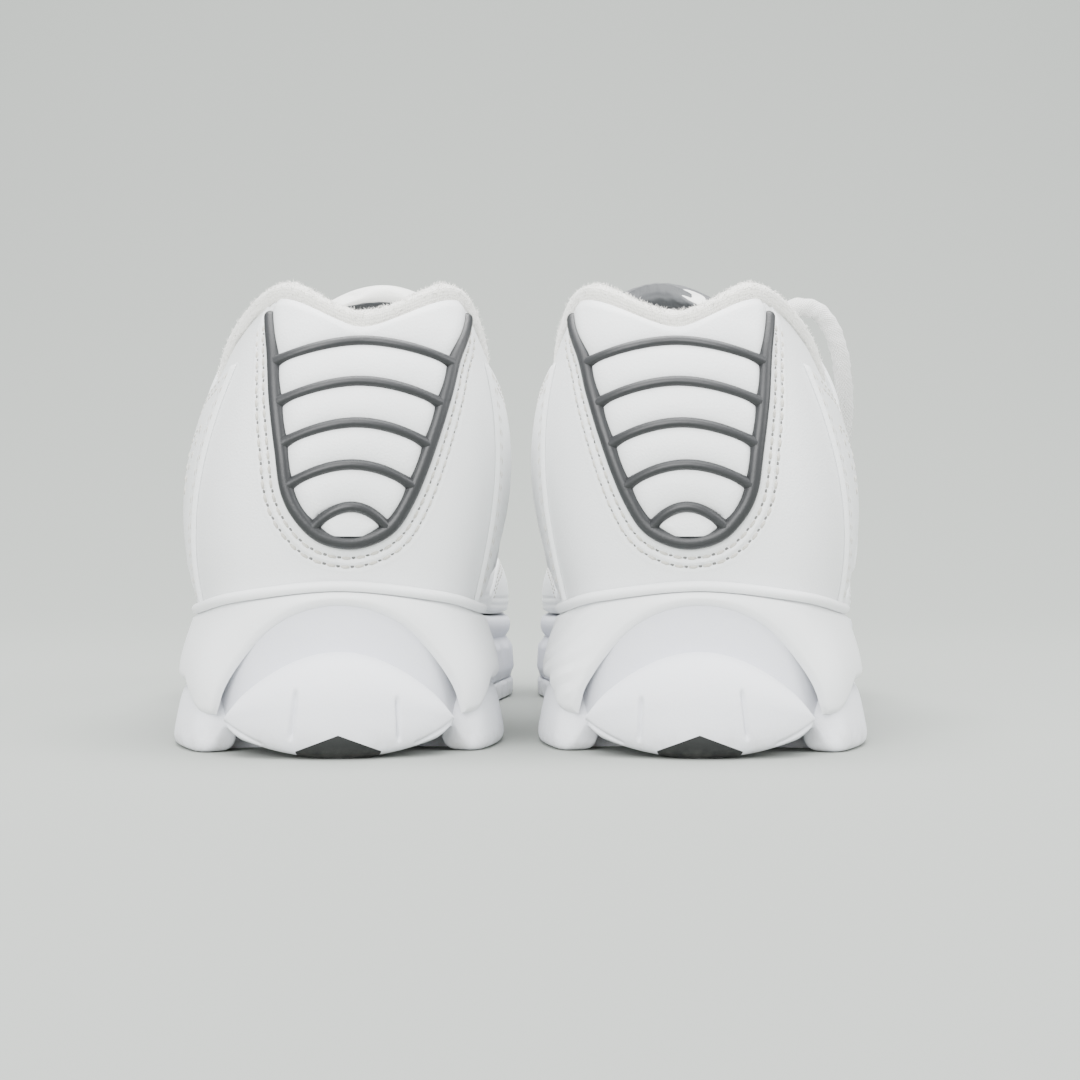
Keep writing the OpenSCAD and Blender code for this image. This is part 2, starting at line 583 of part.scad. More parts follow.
module aglets(side) color("gainsboro") {
    aglet(side, true);
    aglet(side, false);
}

// The pair stands with its middle over the origin: these are its rear and front ends.
function turned_y(p) = -p[0] * sin(toe_out) + p[1] * cos(toe_out);
pair_rear = bumper_back * (cos(toe_out) - 1);
pair_front = max([for (p = plan(sole_flare)) turned_y(p)]);
module in_place(side) {
    mirror([side == "left" ? 1 : 0, 0, 0])
        translate([pair_pitch / 2, -(pair_rear + pair_front) / 2, 0])
            rotate([0, 0, -toe_out]) children();
}
module piece(side, name) in_place(side) {
    if (name == "outsole_heel") outsole_heel();
    if (name == "outsole_inlay") outsole_inlay();
    if (name == "outsole_fore") outsole_fore();
    if (name == "midsole_rear") midsole_rear();
    if (name == "midsole_fore") midsole_fore();
    if (name == "heel_cradle") heel_cradle();
    if (name == "shank") shank();
    if (name == "insole_board") insole_board();
    if (name == "sockliner") sockliner();
    if (name == "heel_counter") heel_counter();
    if (name == "lining") lining();
    if (name == "toe_lining") toe_lining();
    if (name == "heel_quarter") heel_quarter();
    if (name == "quarter_lateral") quarter_lateral();
    if (name == "quarter_medial") quarter_medial();
    if (name == "eyestay") eyestay();
    if (name == "vamp_crease") vamp_crease();
    if (name == "vamp_front") vamp_front();
    if (name == "toe_cap") toe_cap();
    if (name == "heel_pad") heel_pad();
    if (name == "heel_clip") heel_clip();
    if (name == "collar") collar();
    if (name == "tongue_base") tongue_base();
    if (name == "tongue_top") tongue_top();
    if (name == "eyelets") eyelets();
    if (name == "lace") lace();
    if (name == "lace_knot") lace_knot();
    if (name == "lace_bow_lateral") bow(side, true);
    if (name == "lace_bow_medial") bow(side, false);
    if (name == "aglets") aglets(side);
}
piece("left", "outsole_heel");  // left_outsole_heel
piece("left", "outsole_inlay");  // left_outsole_inlay
piece("left", "outsole_fore");  // left_outsole_fore
piece("left", "midsole_rear");  // left_midsole_rear
piece("left", "midsole_fore");  // left_midsole_fore
piece("left", "heel_cradle");  // left_heel_cradle
piece("left", "shank");  // left_shank
piece("left", "insole_board");  // left_insole_board
piece("left", "sockliner");  // left_sockliner
piece("left", "heel_counter");  // left_heel_counter
piece("left", "lining");  // left_lining
piece("left", "toe_lining");  // left_toe_lining
piece("left", "heel_quarter");  // left_heel_quarter
piece("left", "quarter_lateral");  // left_quarter_lateral
piece("left", "quarter_medial");  // left_quarter_medial
piece("left", "eyestay");  // left_eyestay
piece("left", "vamp_crease");  // left_vamp_crease
piece("left", "vamp_front");  // left_vamp_front
piece("left", "toe_cap");  // left_toe_cap
piece("left", "heel_pad");  // left_heel_pad
piece("left", "heel_clip");  // left_heel_clip
piece("left", "collar");  // left_collar
piece("left", "tongue_base");  // left_tongue_base
piece("left", "tongue_top");  // left_tongue_top
piece("left", "eyelets");  // left_eyelets
piece("left", "lace");  // left_lace
piece("left", "lace_knot");  // left_lace_knot
piece("left", "lace_bow_lateral");  // left_lace_bow_lateral
piece("left", "lace_bow_medial");  // left_lace_bow_medial
piece("left", "aglets");  // left_aglets
piece("right", "outsole_heel");  // right_outsole_heel
piece("right", "outsole_inlay");  // right_outsole_inlay
piece("right", "outsole_fore");  // right_outsole_fore
piece("right", "midsole_rear");  // right_midsole_rear
piece("right", "midsole_fore");  // right_midsole_fore
piece("right", "heel_cradle");  // right_heel_cradle
piece("right", "shank");  // right_shank
piece("right", "insole_board");  // right_insole_board
piece("right", "sockliner");  // right_sockliner
piece("right", "heel_counter");  // right_heel_counter
piece("right", "lining");  // right_lining
piece("right", "toe_lining");  // right_toe_lining
piece("right", "heel_quarter");  // right_heel_quarter
piece("right", "quarter_lateral");  // right_quarter_lateral
piece("right", "quarter_medial");  // right_quarter_medial
piece("right", "eyestay");  // right_eyestay
piece("right", "vamp_crease");  // right_vamp_crease
piece("right", "vamp_front");  // right_vamp_front
piece("right", "toe_cap");  // right_toe_cap
piece("right", "heel_pad");  // right_heel_pad
piece("right", "heel_clip");  // right_heel_clip
piece("right", "collar");  // right_collar
piece("right", "tongue_base");  // right_tongue_base
piece("right", "tongue_top");  // right_tongue_top
piece("right", "eyelets");  // right_eyelets
piece("right", "lace");  // right_lace
piece("right", "lace_knot");  // right_lace_knot
piece("right", "lace_bow_lateral");  // right_lace_bow_lateral
piece("right", "lace_bow_medial");  // right_lace_bow_medial
piece("right", "aglets");  // right_aglets
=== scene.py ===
import math
import bmesh
import bpy
import numpy as np
from mathutils import Matrix


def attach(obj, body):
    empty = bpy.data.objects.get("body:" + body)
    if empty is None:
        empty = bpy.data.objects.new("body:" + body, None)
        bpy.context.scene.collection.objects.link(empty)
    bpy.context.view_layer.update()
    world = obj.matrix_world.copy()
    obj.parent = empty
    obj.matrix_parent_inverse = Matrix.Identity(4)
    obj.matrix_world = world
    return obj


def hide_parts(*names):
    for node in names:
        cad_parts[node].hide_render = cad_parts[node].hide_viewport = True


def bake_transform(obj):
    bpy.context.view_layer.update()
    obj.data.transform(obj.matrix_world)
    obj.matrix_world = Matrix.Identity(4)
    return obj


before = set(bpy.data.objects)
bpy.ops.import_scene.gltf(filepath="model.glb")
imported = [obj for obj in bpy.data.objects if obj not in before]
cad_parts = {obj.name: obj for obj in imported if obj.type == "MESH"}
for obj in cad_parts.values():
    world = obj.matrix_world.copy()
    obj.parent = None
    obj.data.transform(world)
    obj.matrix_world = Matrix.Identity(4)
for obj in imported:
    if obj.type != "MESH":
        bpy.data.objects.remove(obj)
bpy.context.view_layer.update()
MM = 0.001

# --- Camera -------------------------------------------------------------------------------
# The pair is seen level and straight from behind, from half a metre off, at ankle height.

camera_data = bpy.data.cameras.new("camera")
camera_data.lens = 72
camera_data.sensor_width = 36
camera_data.clip_start = 0.01
camera = bpy.data.objects.new("camera", camera_data)
camera.location = (0.0044, -0.5824, 0.046)
camera.rotation_euler = (math.radians(90), 0, 0)
bpy.context.scene.collection.objects.link(camera)
bpy.context.scene.camera = camera

# --- Laces: the free loops and ends of the bow ----------------------------------------------
# Soft oval cotton laces, 5.5 mm wide, tied in a bow over the top eyelets. The routes are the
# CAD model's own; the right shoe's outer loop stands up beside the ankle and falls outwards.

SIDES = ("left", "right")
TOE_OUT = math.radians(4.1)
HALF_PITCH = 37.7
BACK_TO_MIDDLE = 132.4035
HEEL_LIFT = 36
LACE_WIDE = 5.5
LACE_THICK = 4.6


def placed(points, side):
    """From a shoe's own frame, in millimetres, to the row frame in metres."""
    p = np.atleast_2d(np.asarray(points, float))
    x, y = p[:, 0], p[:, 1]
    out = np.stack([HALF_PITCH + x * math.cos(TOE_OUT) + y * math.sin(TOE_OUT),
                    -BACK_TO_MIDDLE - x * math.sin(TOE_OUT) + y * math.cos(TOE_OUT),
                    p[:, 2]], 1) * MM
    if side == "left":
        out[:, 0] *= -1
    return out


def spot(x, y, z, side):
    return tuple(placed([x, y, z], side)[0])


def curve_at(knots, t, before=None, after=None):
    """A smooth line's value at real indices t, passing through its knots."""
    knots = np.asarray(knots, float)
    before = knots[0] if before is None else before
    after = knots[-1] if after is None else after
    full = np.concatenate([[before], knots, [after]])
    t = np.asarray(t, float)
    i = np.clip(np.floor(t).astype(int), 0, len(knots) - 2)
    f = t - i
    if knots.ndim > 1:
        f = f[..., None]
    a, b, c, d = full[i], full[i + 1], full[i + 2], full[i + 3]
    return 0.5 * (2 * b + (c - a) * f + (2 * a - 5 * b + 4 * c - d) * f ** 2
                  + (3 * b - a - 3 * c + d) * f ** 3)


def smoothed(route, steps):
    return curve_at(route, np.linspace(0, len(route) - 1, steps * (len(route) - 1) + 1))


def unit(a):
    return a / np.maximum(np.linalg.norm(a, axis=-1, keepdims=True), 1e-9)


def smooth_step(x):
    x = np.clip(x, 0, 1)
    return x * x * (3 - 2 * x)


def mix(a, b, t):
    return a + (b - a) * t


def arc(points):
    """Length along a line at each of its points."""
    steps = np.linalg.norm(np.diff(points, axis=0), axis=1)
    return np.concatenate([[0], np.cumsum(steps)])


def finish_mesh(name, bm, side, wall=0, sharp=50):
    """Welds doubles, turns the left shoe's mirrored faces the right way, and gives a wall."""
    bmesh.ops.remove_doubles(bm, verts=bm.verts, dist=1e-7)
    bmesh.ops.dissolve_degenerate(bm, edges=bm.edges, dist=1e-7)
    if side == "left":
        bmesh.ops.reverse_faces(bm, faces=bm.faces)
    mesh = bpy.data.meshes.new(name)
    bm.to_mesh(mesh)
    bm.free()
    piece = bpy.data.objects.new(name, mesh)
    bpy.context.scene.collection.objects.link(piece)
    if wall:
        shell_wall = piece.modifiers.new("wall", "SOLIDIFY")
        shell_wall.thickness = wall * MM
        shell_wall.offset = -1
        held = bpy.context.evaluated_depsgraph_get()
        solid = bpy.data.meshes.new_from_object(piece.evaluated_get(held))
        piece.modifiers.clear()
        piece.data = solid
        solid.name = name
    piece.data.shade_smooth()
    piece.data.set_sharp_from_angle(angle=math.radians(sharp))
    return piece


def grid_piece(name, side, columns, rows, place, uv_mm=(1, 1), **finish):
    """A surface from a grid whose points place(s, t) moves; s and t run from 0 to 1."""
    bm = bmesh.new()
    bmesh.ops.create_grid(bm, x_segments=columns, y_segments=rows, size=0.5)
    uv = bm.loops.layers.uv.new("UVMap")
    bm.verts.ensure_lookup_table()
    flat = np.array([v.co[:2] for v in bm.verts]) + 0.5
    points = placed(place(flat[:, 0], flat[:, 1]), side)
    for face in bm.faces:
        for loop in face.loops:
            s, t = flat[loop.vert.index]
            loop[uv].uv = (s * uv_mm[0], t * uv_mm[1])
    for vert, p in zip(bm.verts, points):
        vert.co = p
    return finish_mesh(name, bm, side, **finish)


def carried(line, first):
    """Cross directions carried along a line without twist."""
    ahead = unit(np.gradient(line, axis=0))
    across = np.empty_like(line)
    last = np.asarray(first, float)
    for i, t in enumerate(ahead):
        last = last - t * np.dot(last, t)
        last = last / max(np.linalg.norm(last), 1e-9)
        across[i] = last
    return across, np.cross(ahead, across)


def tube_piece(name, side, line, wide, thick, around=16, first=(0, 0, 1), ends=0.6,
               section=None, relief=None, **finish):
    """A closed tube along a line; its flat side faces the carried direction."""
    line = np.asarray(line, float)
    a, b = carried(line, first)
    run = arc(line)
    n = len(line) - 1

    def place(s, t):
        i = np.rint(s * n).astype(int)
        angle = 2 * math.pi * t
        taper = np.ones_like(s)
        if ends:
            near = np.minimum(run[i], run[-1] - run[i]) / ends
            taper = np.sqrt(np.clip(1 - (1 - np.clip(near, 0, 1)) ** 2, 0, 1))
        grow = section(run[i] / run[-1]) if section else 1
        bump = relief(run[i], angle) if relief else 0
        c, d = np.cos(angle), np.sin(angle)
        return (line[i] + a[i] * ((thick / 2 * grow + bump) * c * taper)[:, None]
                + b[i] * ((wide / 2 * grow + bump) * d * taper)[:, None])

    return grid_piece(name, side, n, around, place, uv_mm=(run[-1], math.pi * wide), **finish)


def new_material(name, base, roughness, metallic=0.0, specular=0.5):
    """A material, its shader and the two ways in: its nodes and its links."""
    material = bpy.data.materials.new(name)
    material.use_nodes = True
    nodes, links = material.node_tree.nodes, material.node_tree.links
    shader = nodes["Principled BSDF"]
    shader.inputs["Base Color"].default_value = (*base, 1)
    shader.inputs["Roughness"].default_value = roughness
    shader.inputs["Metallic"].default_value = metallic
    shader.inputs["Specular IOR Level"].default_value = specular
    return material, shader, nodes, links


def new_group(name, inputs, outputs):
    """An empty shader node group with named sockets, and its nodes, links and two ends."""
    group = bpy.data.node_groups.new(name, "ShaderNodeTree")
    for label, kind, value in inputs:
        socket = group.interface.new_socket(name=label, in_out="INPUT", socket_type=kind)
        if value is not None:
            socket.default_value = value
    for label, kind in outputs:
        group.interface.new_socket(name=label, in_out="OUTPUT", socket_type=kind)
    start = group.nodes.new("NodeGroupInput")
    end = group.nodes.new("NodeGroupOutput")
    return group, group.nodes, group.links, start, end


def use_group(nodes, group, **values):
    node = nodes.new("ShaderNodeGroup")
    node.node_tree = group
    for label, value in values.items():
        node.inputs[label.replace("_", " ")].default_value = value
    return node


def math_node(nodes, links, operation, a, b=None, clamp=False):
    node = nodes.new("ShaderNodeMath")
    node.operation = operation
    node.use_clamp = clamp
    for socket, value in zip(node.inputs, (a, b)):
        if isinstance(value, (int, float)):
            socket.default_value = value
        elif value is not None:
            links.new(value, socket)
    return node.outputs[0]


def noise_node(nodes, links, vector, scale, detail=3.0, roughness=0.5):
    node = nodes.new("ShaderNodeTexNoise")
    node.inputs["Scale"].default_value = scale
    node.inputs["Detail"].default_value = detail
    node.inputs["Roughness"].default_value = roughness
    links.new(vector, node.inputs["Vector"])
    return node.outputs[0]


def two_tone(nodes, links, mask, light, dark):
    """Two colours mixed by a mask that changes over the surface."""
    node = nodes.new("ShaderNodeMix")
    node.data_type = "RGBA"
    node.inputs["A"].default_value = (*light, 1)
    node.inputs["B"].default_value = (*dark, 1)
    links.new(mask, node.inputs["Factor"])
    return node.outputs["Result"]


def bump_to(shader, nodes, links, height, distance, strength=1.0):
    bump = nodes.new("ShaderNodeBump")
    bump.inputs["Distance"].default_value = distance * MM
    bump.inputs["Strength"].default_value = strength
    links.new(height, bump.inputs["Height"])
    links.new(bump.outputs[0], shader.inputs["Normal"])


def range_to(nodes, links, value, socket, low, high):
    node = nodes.new("ShaderNodeMapRange")
    links.new(value, node.inputs["Value"])
    node.inputs["To Min"].default_value = low
    node.inputs["To Max"].default_value = high
    links.new(node.outputs[0], socket)


# Braid: two sets of slanted cotton strands that cross, read from the piece's own UV in mm.
braid, bn, bl, b_in, b_out = new_group(
    "braid", [("Vector", "NodeSocketVector", None), ("Strand mm", "NodeSocketFloat", 1.0)],
    [("Height", "NodeSocketFloat"), ("Dirt and shade", "NodeSocketFloat")])
split = bn.new("ShaderNodeSeparateXYZ")
bl.new(b_in.outputs["Vector"], split.inputs[0])
turns = [math_node(bn, bl, "DIVIDE", math_node(bn, bl, op, split.outputs[0], split.outputs[1]),
                   b_in.outputs["Strand mm"]) for op in ("ADD", "SUBTRACT")]
waves = [math_node(bn, bl, "SINE", math_node(bn, bl, "MULTIPLY", t, math.pi)) for t in turns]
crossing = math_node(bn, bl, "MULTIPLY", waves[0], waves[1])
fibre = noise_node(bn, bl, b_in.outputs["Vector"], 3.0, 4.0, 0.7)
bl.new(math_node(bn, bl, "ADD", math_node(bn, bl, "ABSOLUTE", crossing),
                 math_node(bn, bl, "MULTIPLY", fibre, 0.9)), b_out.inputs["Height"])
# The second output is painted shade: 1 in the grooves between the strands, 0 on their crowns.
bl.new(math_node(bn, bl, "SUBTRACT", 1.0, math_node(bn, bl, "ABSOLUTE", crossing)),
       b_out.inputs["Dirt and shade"])

lace_cotton, sh, nodes, links = new_material("lace_cotton", (0.86, 0.86, 0.84), 0.9)
sh.inputs["Sheen Weight"].default_value = 0.6
sh.inputs["Sheen Roughness"].default_value = 0.6
sh.inputs["Subsurface Weight"].default_value = 0.15
sh.inputs["Subsurface Radius"].default_value = (0.002, 0.002, 0.002)
uv = nodes.new("ShaderNodeUVMap")
braided = use_group(nodes, braid, Strand_mm=0.9)
links.new(uv.outputs[0], braided.inputs["Vector"])
# The lace's darker colour is painted shade in the braid's grooves.
links.new(two_tone(nodes, links, braided.outputs["Dirt and shade"], (0.90, 0.90, 0.885),
                   (0.72, 0.71, 0.68)), sh.inputs["Base Color"])
bump_to(sh, nodes, links, braided.outputs["Height"], 0.25, 0.8)

clear_tip, sh, nodes, links = new_material("clear_tip", (0.82, 0.85, 0.86), 0.12)
sh.inputs["Coat Weight"].default_value = 0.6
object_at = nodes.new("ShaderNodeTexCoord").outputs["Object"]
film = noise_node(nodes, links, object_at, 900.0, 3.0)
links.new(two_tone(nodes, links, film, (0.88, 0.90, 0.91), (0.58, 0.61, 0.62)),
          sh.inputs["Base Color"])
bump_to(sh, nodes, links, film, 0.1, 0.5)

BOW_HIGH = [[3, 106, 65], [9, 108, 64.5], [15, 109, 65], [20.5, 110, 67.5], [26, 111, 70.3],
            [32, 113, 68.2], [36, 116, 61], [38, 122, 51.5], [38.8, 131, 42], [37.8, 139, 35.8],
            [33.5, 146, 33], [28, 145, 39], [23, 137, 48], [16, 124, 56.5], [8, 112, 63],
            [0, 107, 66], [5, 111, 69], [13, 117, 68], [19, 119.5, 64.5], [22, 120.5, 60]]
BOW_LOW = [[3, 106, 65], [8, 109, 65.5], [15, 117, 62], [21, 127, 55.5], [25.5, 138, 48.5],
           [27, 148, 41.5], [22.5, 154.5, 40], [16, 150, 46], [12, 138, 54], [8, 124, 60],
           [3, 112, 65.5], [0, 107, 66], [0, 114, 69], [1, 124, 65], [3, 136, 61], [5, 147, 56.5]]
AGLET_LONG = 16
AGLET_WIDE = 4


def soft_twist(run, angle):
    """Slight lumps along a soft braided lace."""
    return 0.12 * np.sin(run * 1.9 + 2 * angle) + 0.10 * np.sin(run * 0.73 + angle * 3)


def fibres(name, side, roots, outward, length, thick, spread, seed):
    """Loose fibres that stand up off a soft surface: thin three-sided spikes."""
    rng = np.random.default_rng(seed)
    lean = unit(outward + spread * rng.normal(size=outward.shape))
    bm = bmesh.new()
    for root, way, long in zip(roots, lean, length * rng.uniform(0.4, 1.3, len(roots))):
        side_way = unit(np.cross(way, rng.normal(size=3)))
        other = np.cross(way, side_way)
        base = [root + thick / 2 * (math.cos(k) * side_way + math.sin(k) * other)
                for k in (0, 2.1, 4.2)]
        bend = root + way * long + 0.35 * long * side_way
        corners = [bm.verts.new(p) for p in placed(base + [bend], side)]
        for k in range(3):
            bm.faces.new((corners[k], corners[(k + 1) % 3], corners[3]))
        bm.faces.new((corners[2], corners[1], corners[0]))
    return finish_mesh(name, bm, side, sharp=180)


for side in SIDES:
    for outer, turn in (("lateral", 1), ("medial", -1)):
        route = np.array(BOW_HIGH if side == "right" and turn > 0 else BOW_LOW, float)
        route = route * [turn, 1, 1] + [0, 0, HEEL_LIFT]
        line = smoothed(route, 10)
        loop = tube_piece(f"{side}_lace_bow_{outer}", side, line, LACE_WIDE, LACE_THICK,
                          around=24, first=(turn, 0, 0.4), ends=1.0, relief=soft_twist)
        loop.data.materials.append(lace_cotton)
        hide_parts(f"{side}_lace_bow_{outer}")
        tip_way = unit(line[-1] - line[-4])
        tip_line = [line[-1] + tip_way * k for k in np.linspace(-1.5, AGLET_LONG, 15)]
        tip = tube_piece(f"{side}_aglet_{outer}", side, tip_line, AGLET_WIDE, AGLET_WIDE,
                         around=20, ends=0.5,
                         section=lambda f: 1 - 0.12 * np.cos(2 * math.pi * f) * f)
        tip.data.materials.append(clear_tip)
        if turn > 0:
            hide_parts(f"{side}_aglets")
        path = placed(line, side)
        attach(loop, f"{side}_shoe")
        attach(tip, f"{side}_shoe")
        rng = np.random.default_rng(21 + turn)
        pick = rng.integers(3, len(line) - 3, 900)
        across, other = carried(line, (turn, 0, 0.4))
        angle = rng.uniform(0, 2 * math.pi, 900)
        way = (across[pick] * np.cos(angle)[:, None] + other[pick] * np.sin(angle)[:, None])
        reach = np.where(np.abs(np.cos(angle)) > 0.7, LACE_THICK, LACE_WIDE)[:, None] / 2
        fuzz = fibres(f"{side}_lace_fuzz_{outer}", side, line[pick] + way * (reach - 0.5), way,
                      1.1, 0.10, 0.7, 31 + turn)
        fuzz.data.materials.append(lace_cotton)
        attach(fuzz, f"{side}_shoe")

# --- Last: the form every panel is pulled over ------------------------------------------------
# The upper's shape, as in the CAD model: stations u run round the shoe from 0 at the heel to 10
# at the toe, + on the outer side; levels v run from the featherline up to the top edge.

FOOT_LATERAL = [[0, 9], [20, 15], [30, 36], [32, 65], [33.5, 98], [36.5, 132], [40.5, 162],
                [41.5, 192], [34.5, 225], [18, 250], [-8, 262]]
FOOT_MEDIAL = [[0, 9], [-20, 15], [-29, 36], [-31, 65], [-31.5, 98], [-34, 132], [-39.5, 165],
               [-44.5, 193], [-42, 225], [-30, 250], [-8, 262]]
FOOT_LIFT = [1, 0.8, 0.53, 0.43, 0.3, 0.17, 0.04, 0, 0.09, 0.3, 0.48]
TOP_LATERAL = [[-5, 12, 55], [12, 18, 61.5], [23.5, 42, 55], [29, 68, 46], [23.5, 97, 60],
               [17, 128, 48], [13.5, 156, 35], [0, 177, 25.5]]
TOP_MEDIAL = [[-5, 12, 55], [-23.5, 18, 61.5], [-31, 42, 56], [-33, 68, 48], [-25, 97, 60],
              [-18, 128, 48], [-13.5, 156, 35], [0, 177, 25.5]]
RIDGE = [[0, 156, 35], [0, 177, 25.5], [-2, 200, 19.5], [-4, 218, 16.5], [-6, 233, 14]]
SWELL_LOW = [5, 5.5, 6, 6, 6, 4, 3, 4, 5, 6, 6]
SWELL_HIGH = [9, 9, 10, 10, 11, 8, 5, 3, 2, 1, 1]
SPREAD = [0, 0, 0, 0.05, 0.3, 0.4, 0.5, 0.5, 0.5, 0.5, 0.55]
LOW_SHARE = [0.33, 0.33, 0.33, 0.33, 0.35, 0.4, 0.45, 0.5, 0.55, 0.6, 0.6]
HIGH_SHARE = [0.33, 0.33, 0.33, 0.35, 0.12, 0.08, 0.05, 0, 0, 0, 0]
BALL_LIFT = 24.5
THROAT = 7
TOE = 10
LINER_IN = -4.95
LINER_OUT = -2.95


def around(u):
    return (np.asarray(u, float) + TOE) % (2 * TOE) - TOE


def by_side(u, lateral, medial):
    return np.where((u < 0)[..., None], medial, lateral)


def foot_at(u):
    u = around(u)
    w = np.abs(u)
    plan = by_side(u, curve_at(FOOT_LATERAL, w, FOOT_MEDIAL[1], FOOT_MEDIAL[-2]),
                   curve_at(FOOT_MEDIAL, w, FOOT_LATERAL[1], FOOT_LATERAL[-2]))
    lift = mix(BALL_LIFT, HEEL_LIFT, level(FOOT_LIFT, w))
    return np.concatenate([plan, lift[..., None]], -1)


def level(knots, w):
    return curve_at(knots, w, knots[1], knots[-2])


def top_at(u):
    u = around(u)
    w = np.abs(u)
    sides = by_side(u, curve_at(TOP_LATERAL, w, TOP_MEDIAL[1], TOP_MEDIAL[6]),
                    curve_at(TOP_MEDIAL, w, TOP_LATERAL[1], TOP_LATERAL[6]))
    crest = curve_at(RIDGE[1:], np.maximum(w - THROAT, 0), RIDGE[0], RIDGE[-1])
    return np.where((w >= THROAT)[..., None], crest, sides) + [0, 0, HEEL_LIFT]


def outward(u, step=0.02):
    t = foot_at(u + step) - foot_at(u - step)
    flat = np.stack([t[..., 1], -t[..., 0], 0 * t[..., 0]], -1)
    return unit(flat)


def shell(u, v):
    u, v = np.broadcast_arrays(around(u), np.asarray(v, float))
    w = np.abs(u)
    f, t, o = foot_at(u), top_at(u), outward(u)
    h = (t - f)[..., 2]
    up = np.zeros_like(f)
    up[..., 2] = h
    p1 = f + o * level(SWELL_LOW, w)[..., None] + up * level(LOW_SHARE, w)[..., None]
    lean = (f - t) * level(SPREAD, w)[..., None]
    lean[..., 2] = 0
    p2 = t + lean + o * level(SWELL_HIGH, w)[..., None] - up * level(HIGH_SHARE, w)[..., None]
    v = v[..., None]
    return ((1 - v) ** 3 * f + 3 * (1 - v) ** 2 * v * p1 + 3 * (1 - v) * v * v * p2
            + v ** 3 * t)


def tilt(u, v, step=0.02):
    along = shell(u + step, v) - shell(u - step, v)
    rise = shell(u, np.minimum(1, v + step)) - shell(u, np.maximum(0, v - step))
    return unit(np.cross(along, rise))


def face_out(u, v):
    u, v = np.broadcast_arrays(around(u), np.asarray(v, float))
    n = tilt(u, np.clip(v, 0, 1))
    crest = (np.abs(u) >= THROAT) & (v > 0.93)
    both = unit(tilt(u, np.full_like(v, 0.95)) + tilt(-u, np.full_like(v, 0.95)))
    share = smooth_step((v - 0.93) / 0.07)[..., None]
    n = np.where(crest[..., None], unit(mix(n, both, share)), n)
    low = v <= 0
    n[low, 2] = 0
    return unit(n)


def layer(u, v, off=0.0):
    """A point off the leather's outer face by off millimetres."""
    off = np.asarray(off, float)
    return shell(u, v) + face_out(u, v) * (off[..., None] if off.ndim else off)


def edge_at(u, out):
    """A point of the shoe's outline in plan, out past the featherline."""
    return foot_at(u) + outward(u) * np.asarray(out, float)[..., None]


BEND_FROM = (0, 176, 25)
BEND_TO = (0, 214, 25)


def goes_with(piece, side, part, material, replaces=(), bends=False):
    """Gives a piece its material, hides the CAD nodes it replaces and attaches it to a body; with
    bends set, it is only baked in place and gets no body.
    """
    piece.data.materials.clear()
    piece.data.materials.append(material)
    for node in replaces:
        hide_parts(f"{side}_{node}")
    if bends:
        spot(*BEND_FROM, side)
        spot(*BEND_TO, side)
        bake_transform(piece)
    else:
        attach(piece, f"{side}_{part}")


# --- Outsole --------------------------------------------------------------------------------
# White carbon rubber, moulded as one piece: a flat tread 5 mm thick with cut flex grooves,
# lugs that stand out at both sides of the heel, and a thick lens that wraps up the back.

# Moulded rubber: a fine even pebble, faint dirt low down, and a slight change in gloss.
moulded, mn, ml, m_in, m_out = new_group(
    "moulded", [("Scale", "NodeSocketFloat", 1.0), ("Dirt top mm", "NodeSocketFloat", 8.0)],
    [("Height", "NodeSocketFloat"), ("Cloud", "NodeSocketFloat"), ("Dirt and shade", "NodeSocketFloat")])
at = mn.new("ShaderNodeTexCoord").outputs["Object"]
pebble = mn.new("ShaderNodeTexVoronoi")
ml.new(at, pebble.inputs["Vector"])
ml.new(math_node(mn, ml, "MULTIPLY", m_in.outputs["Scale"], 1600.0), pebble.inputs["Scale"])
ml.new(math_node(mn, ml, "ADD", math_node(mn, ml, "MULTIPLY", pebble.outputs["Distance"], 0.5),
                 noise_node(mn, ml, at, 300.0, 5.0, 0.6)), m_out.inputs["Height"])
cloud = noise_node(mn, ml, at, 45.0, 5.0, 0.62)
ml.new(cloud, m_out.inputs["Cloud"])
apart = mn.new("ShaderNodeSeparateXYZ")
ml.new(at, apart.inputs[0])
fall = mn.new("ShaderNodeMapRange")
ml.new(apart.outputs[2], fall.inputs["Value"])
ml.new(math_node(mn, ml, "MULTIPLY", m_in.outputs["Dirt top mm"], MM), fall.inputs["From Max"])
fall.inputs["To Min"].default_value = 1
fall.inputs["To Max"].default_value = 0
speckle = noise_node(mn, ml, at, 210.0, 6.0, 0.7)
ml.new(math_node(mn, ml, "MULTIPLY", fall.outputs[0],
                 math_node(mn, ml, "MULTIPLY", math_node(mn, ml, "SUBTRACT", speckle, 0.42),
                           2.2, clamp=True), clamp=True), m_out.inputs["Dirt and shade"])


def moulded_material(name, light, cloudy, dirt, rough, top, pebbles=1.0):
    material, sh, nodes, links = new_material(name, light, rough)
    mould = use_group(nodes, moulded, Scale=pebbles, Dirt_top_mm=top)
    clean = two_tone(nodes, links, mould.outputs["Cloud"], light, cloudy)
    soiled = nodes.new("ShaderNodeMix")
    soiled.data_type = "RGBA"
    links.new(mould.outputs["Dirt and shade"], soiled.inputs["Factor"])
    links.new(clean, soiled.inputs["A"])
    soiled.inputs["B"].default_value = (*dirt, 1)
    links.new(soiled.outputs["Result"], sh.inputs["Base Color"])
    range_to(nodes, links, mould.outputs["Cloud"], sh.inputs["Roughness"],
             rough - 0.08, rough + 0.1)
    bump_to(sh, nodes, links, mould.outputs["Height"], 0.12, 0.35)
    return material, sh


white_rubber, sh = moulded_material("white_rubber", (0.84, 0.85, 0.88), (0.78, 0.79, 0.83),
                                    (0.42, 0.41, 0.38), 0.5, 7.0)
sh.inputs["Subsurface Weight"].default_value = 0.08
sh.inputs["Subsurface Radius"].default_value = (0.003, 0.003, 0.003)
dark_rubber, sh = moulded_material("dark_rubber", (0.006, 0.007, 0.007), (0.011, 0.012, 0.012),
                                   (0.10, 0.10, 0.09), 0.55, 3.0)

TOE_SPRING = 8.0
SPRING_FROM = 212
FRONT = 265
OUTSOLE = 5.0


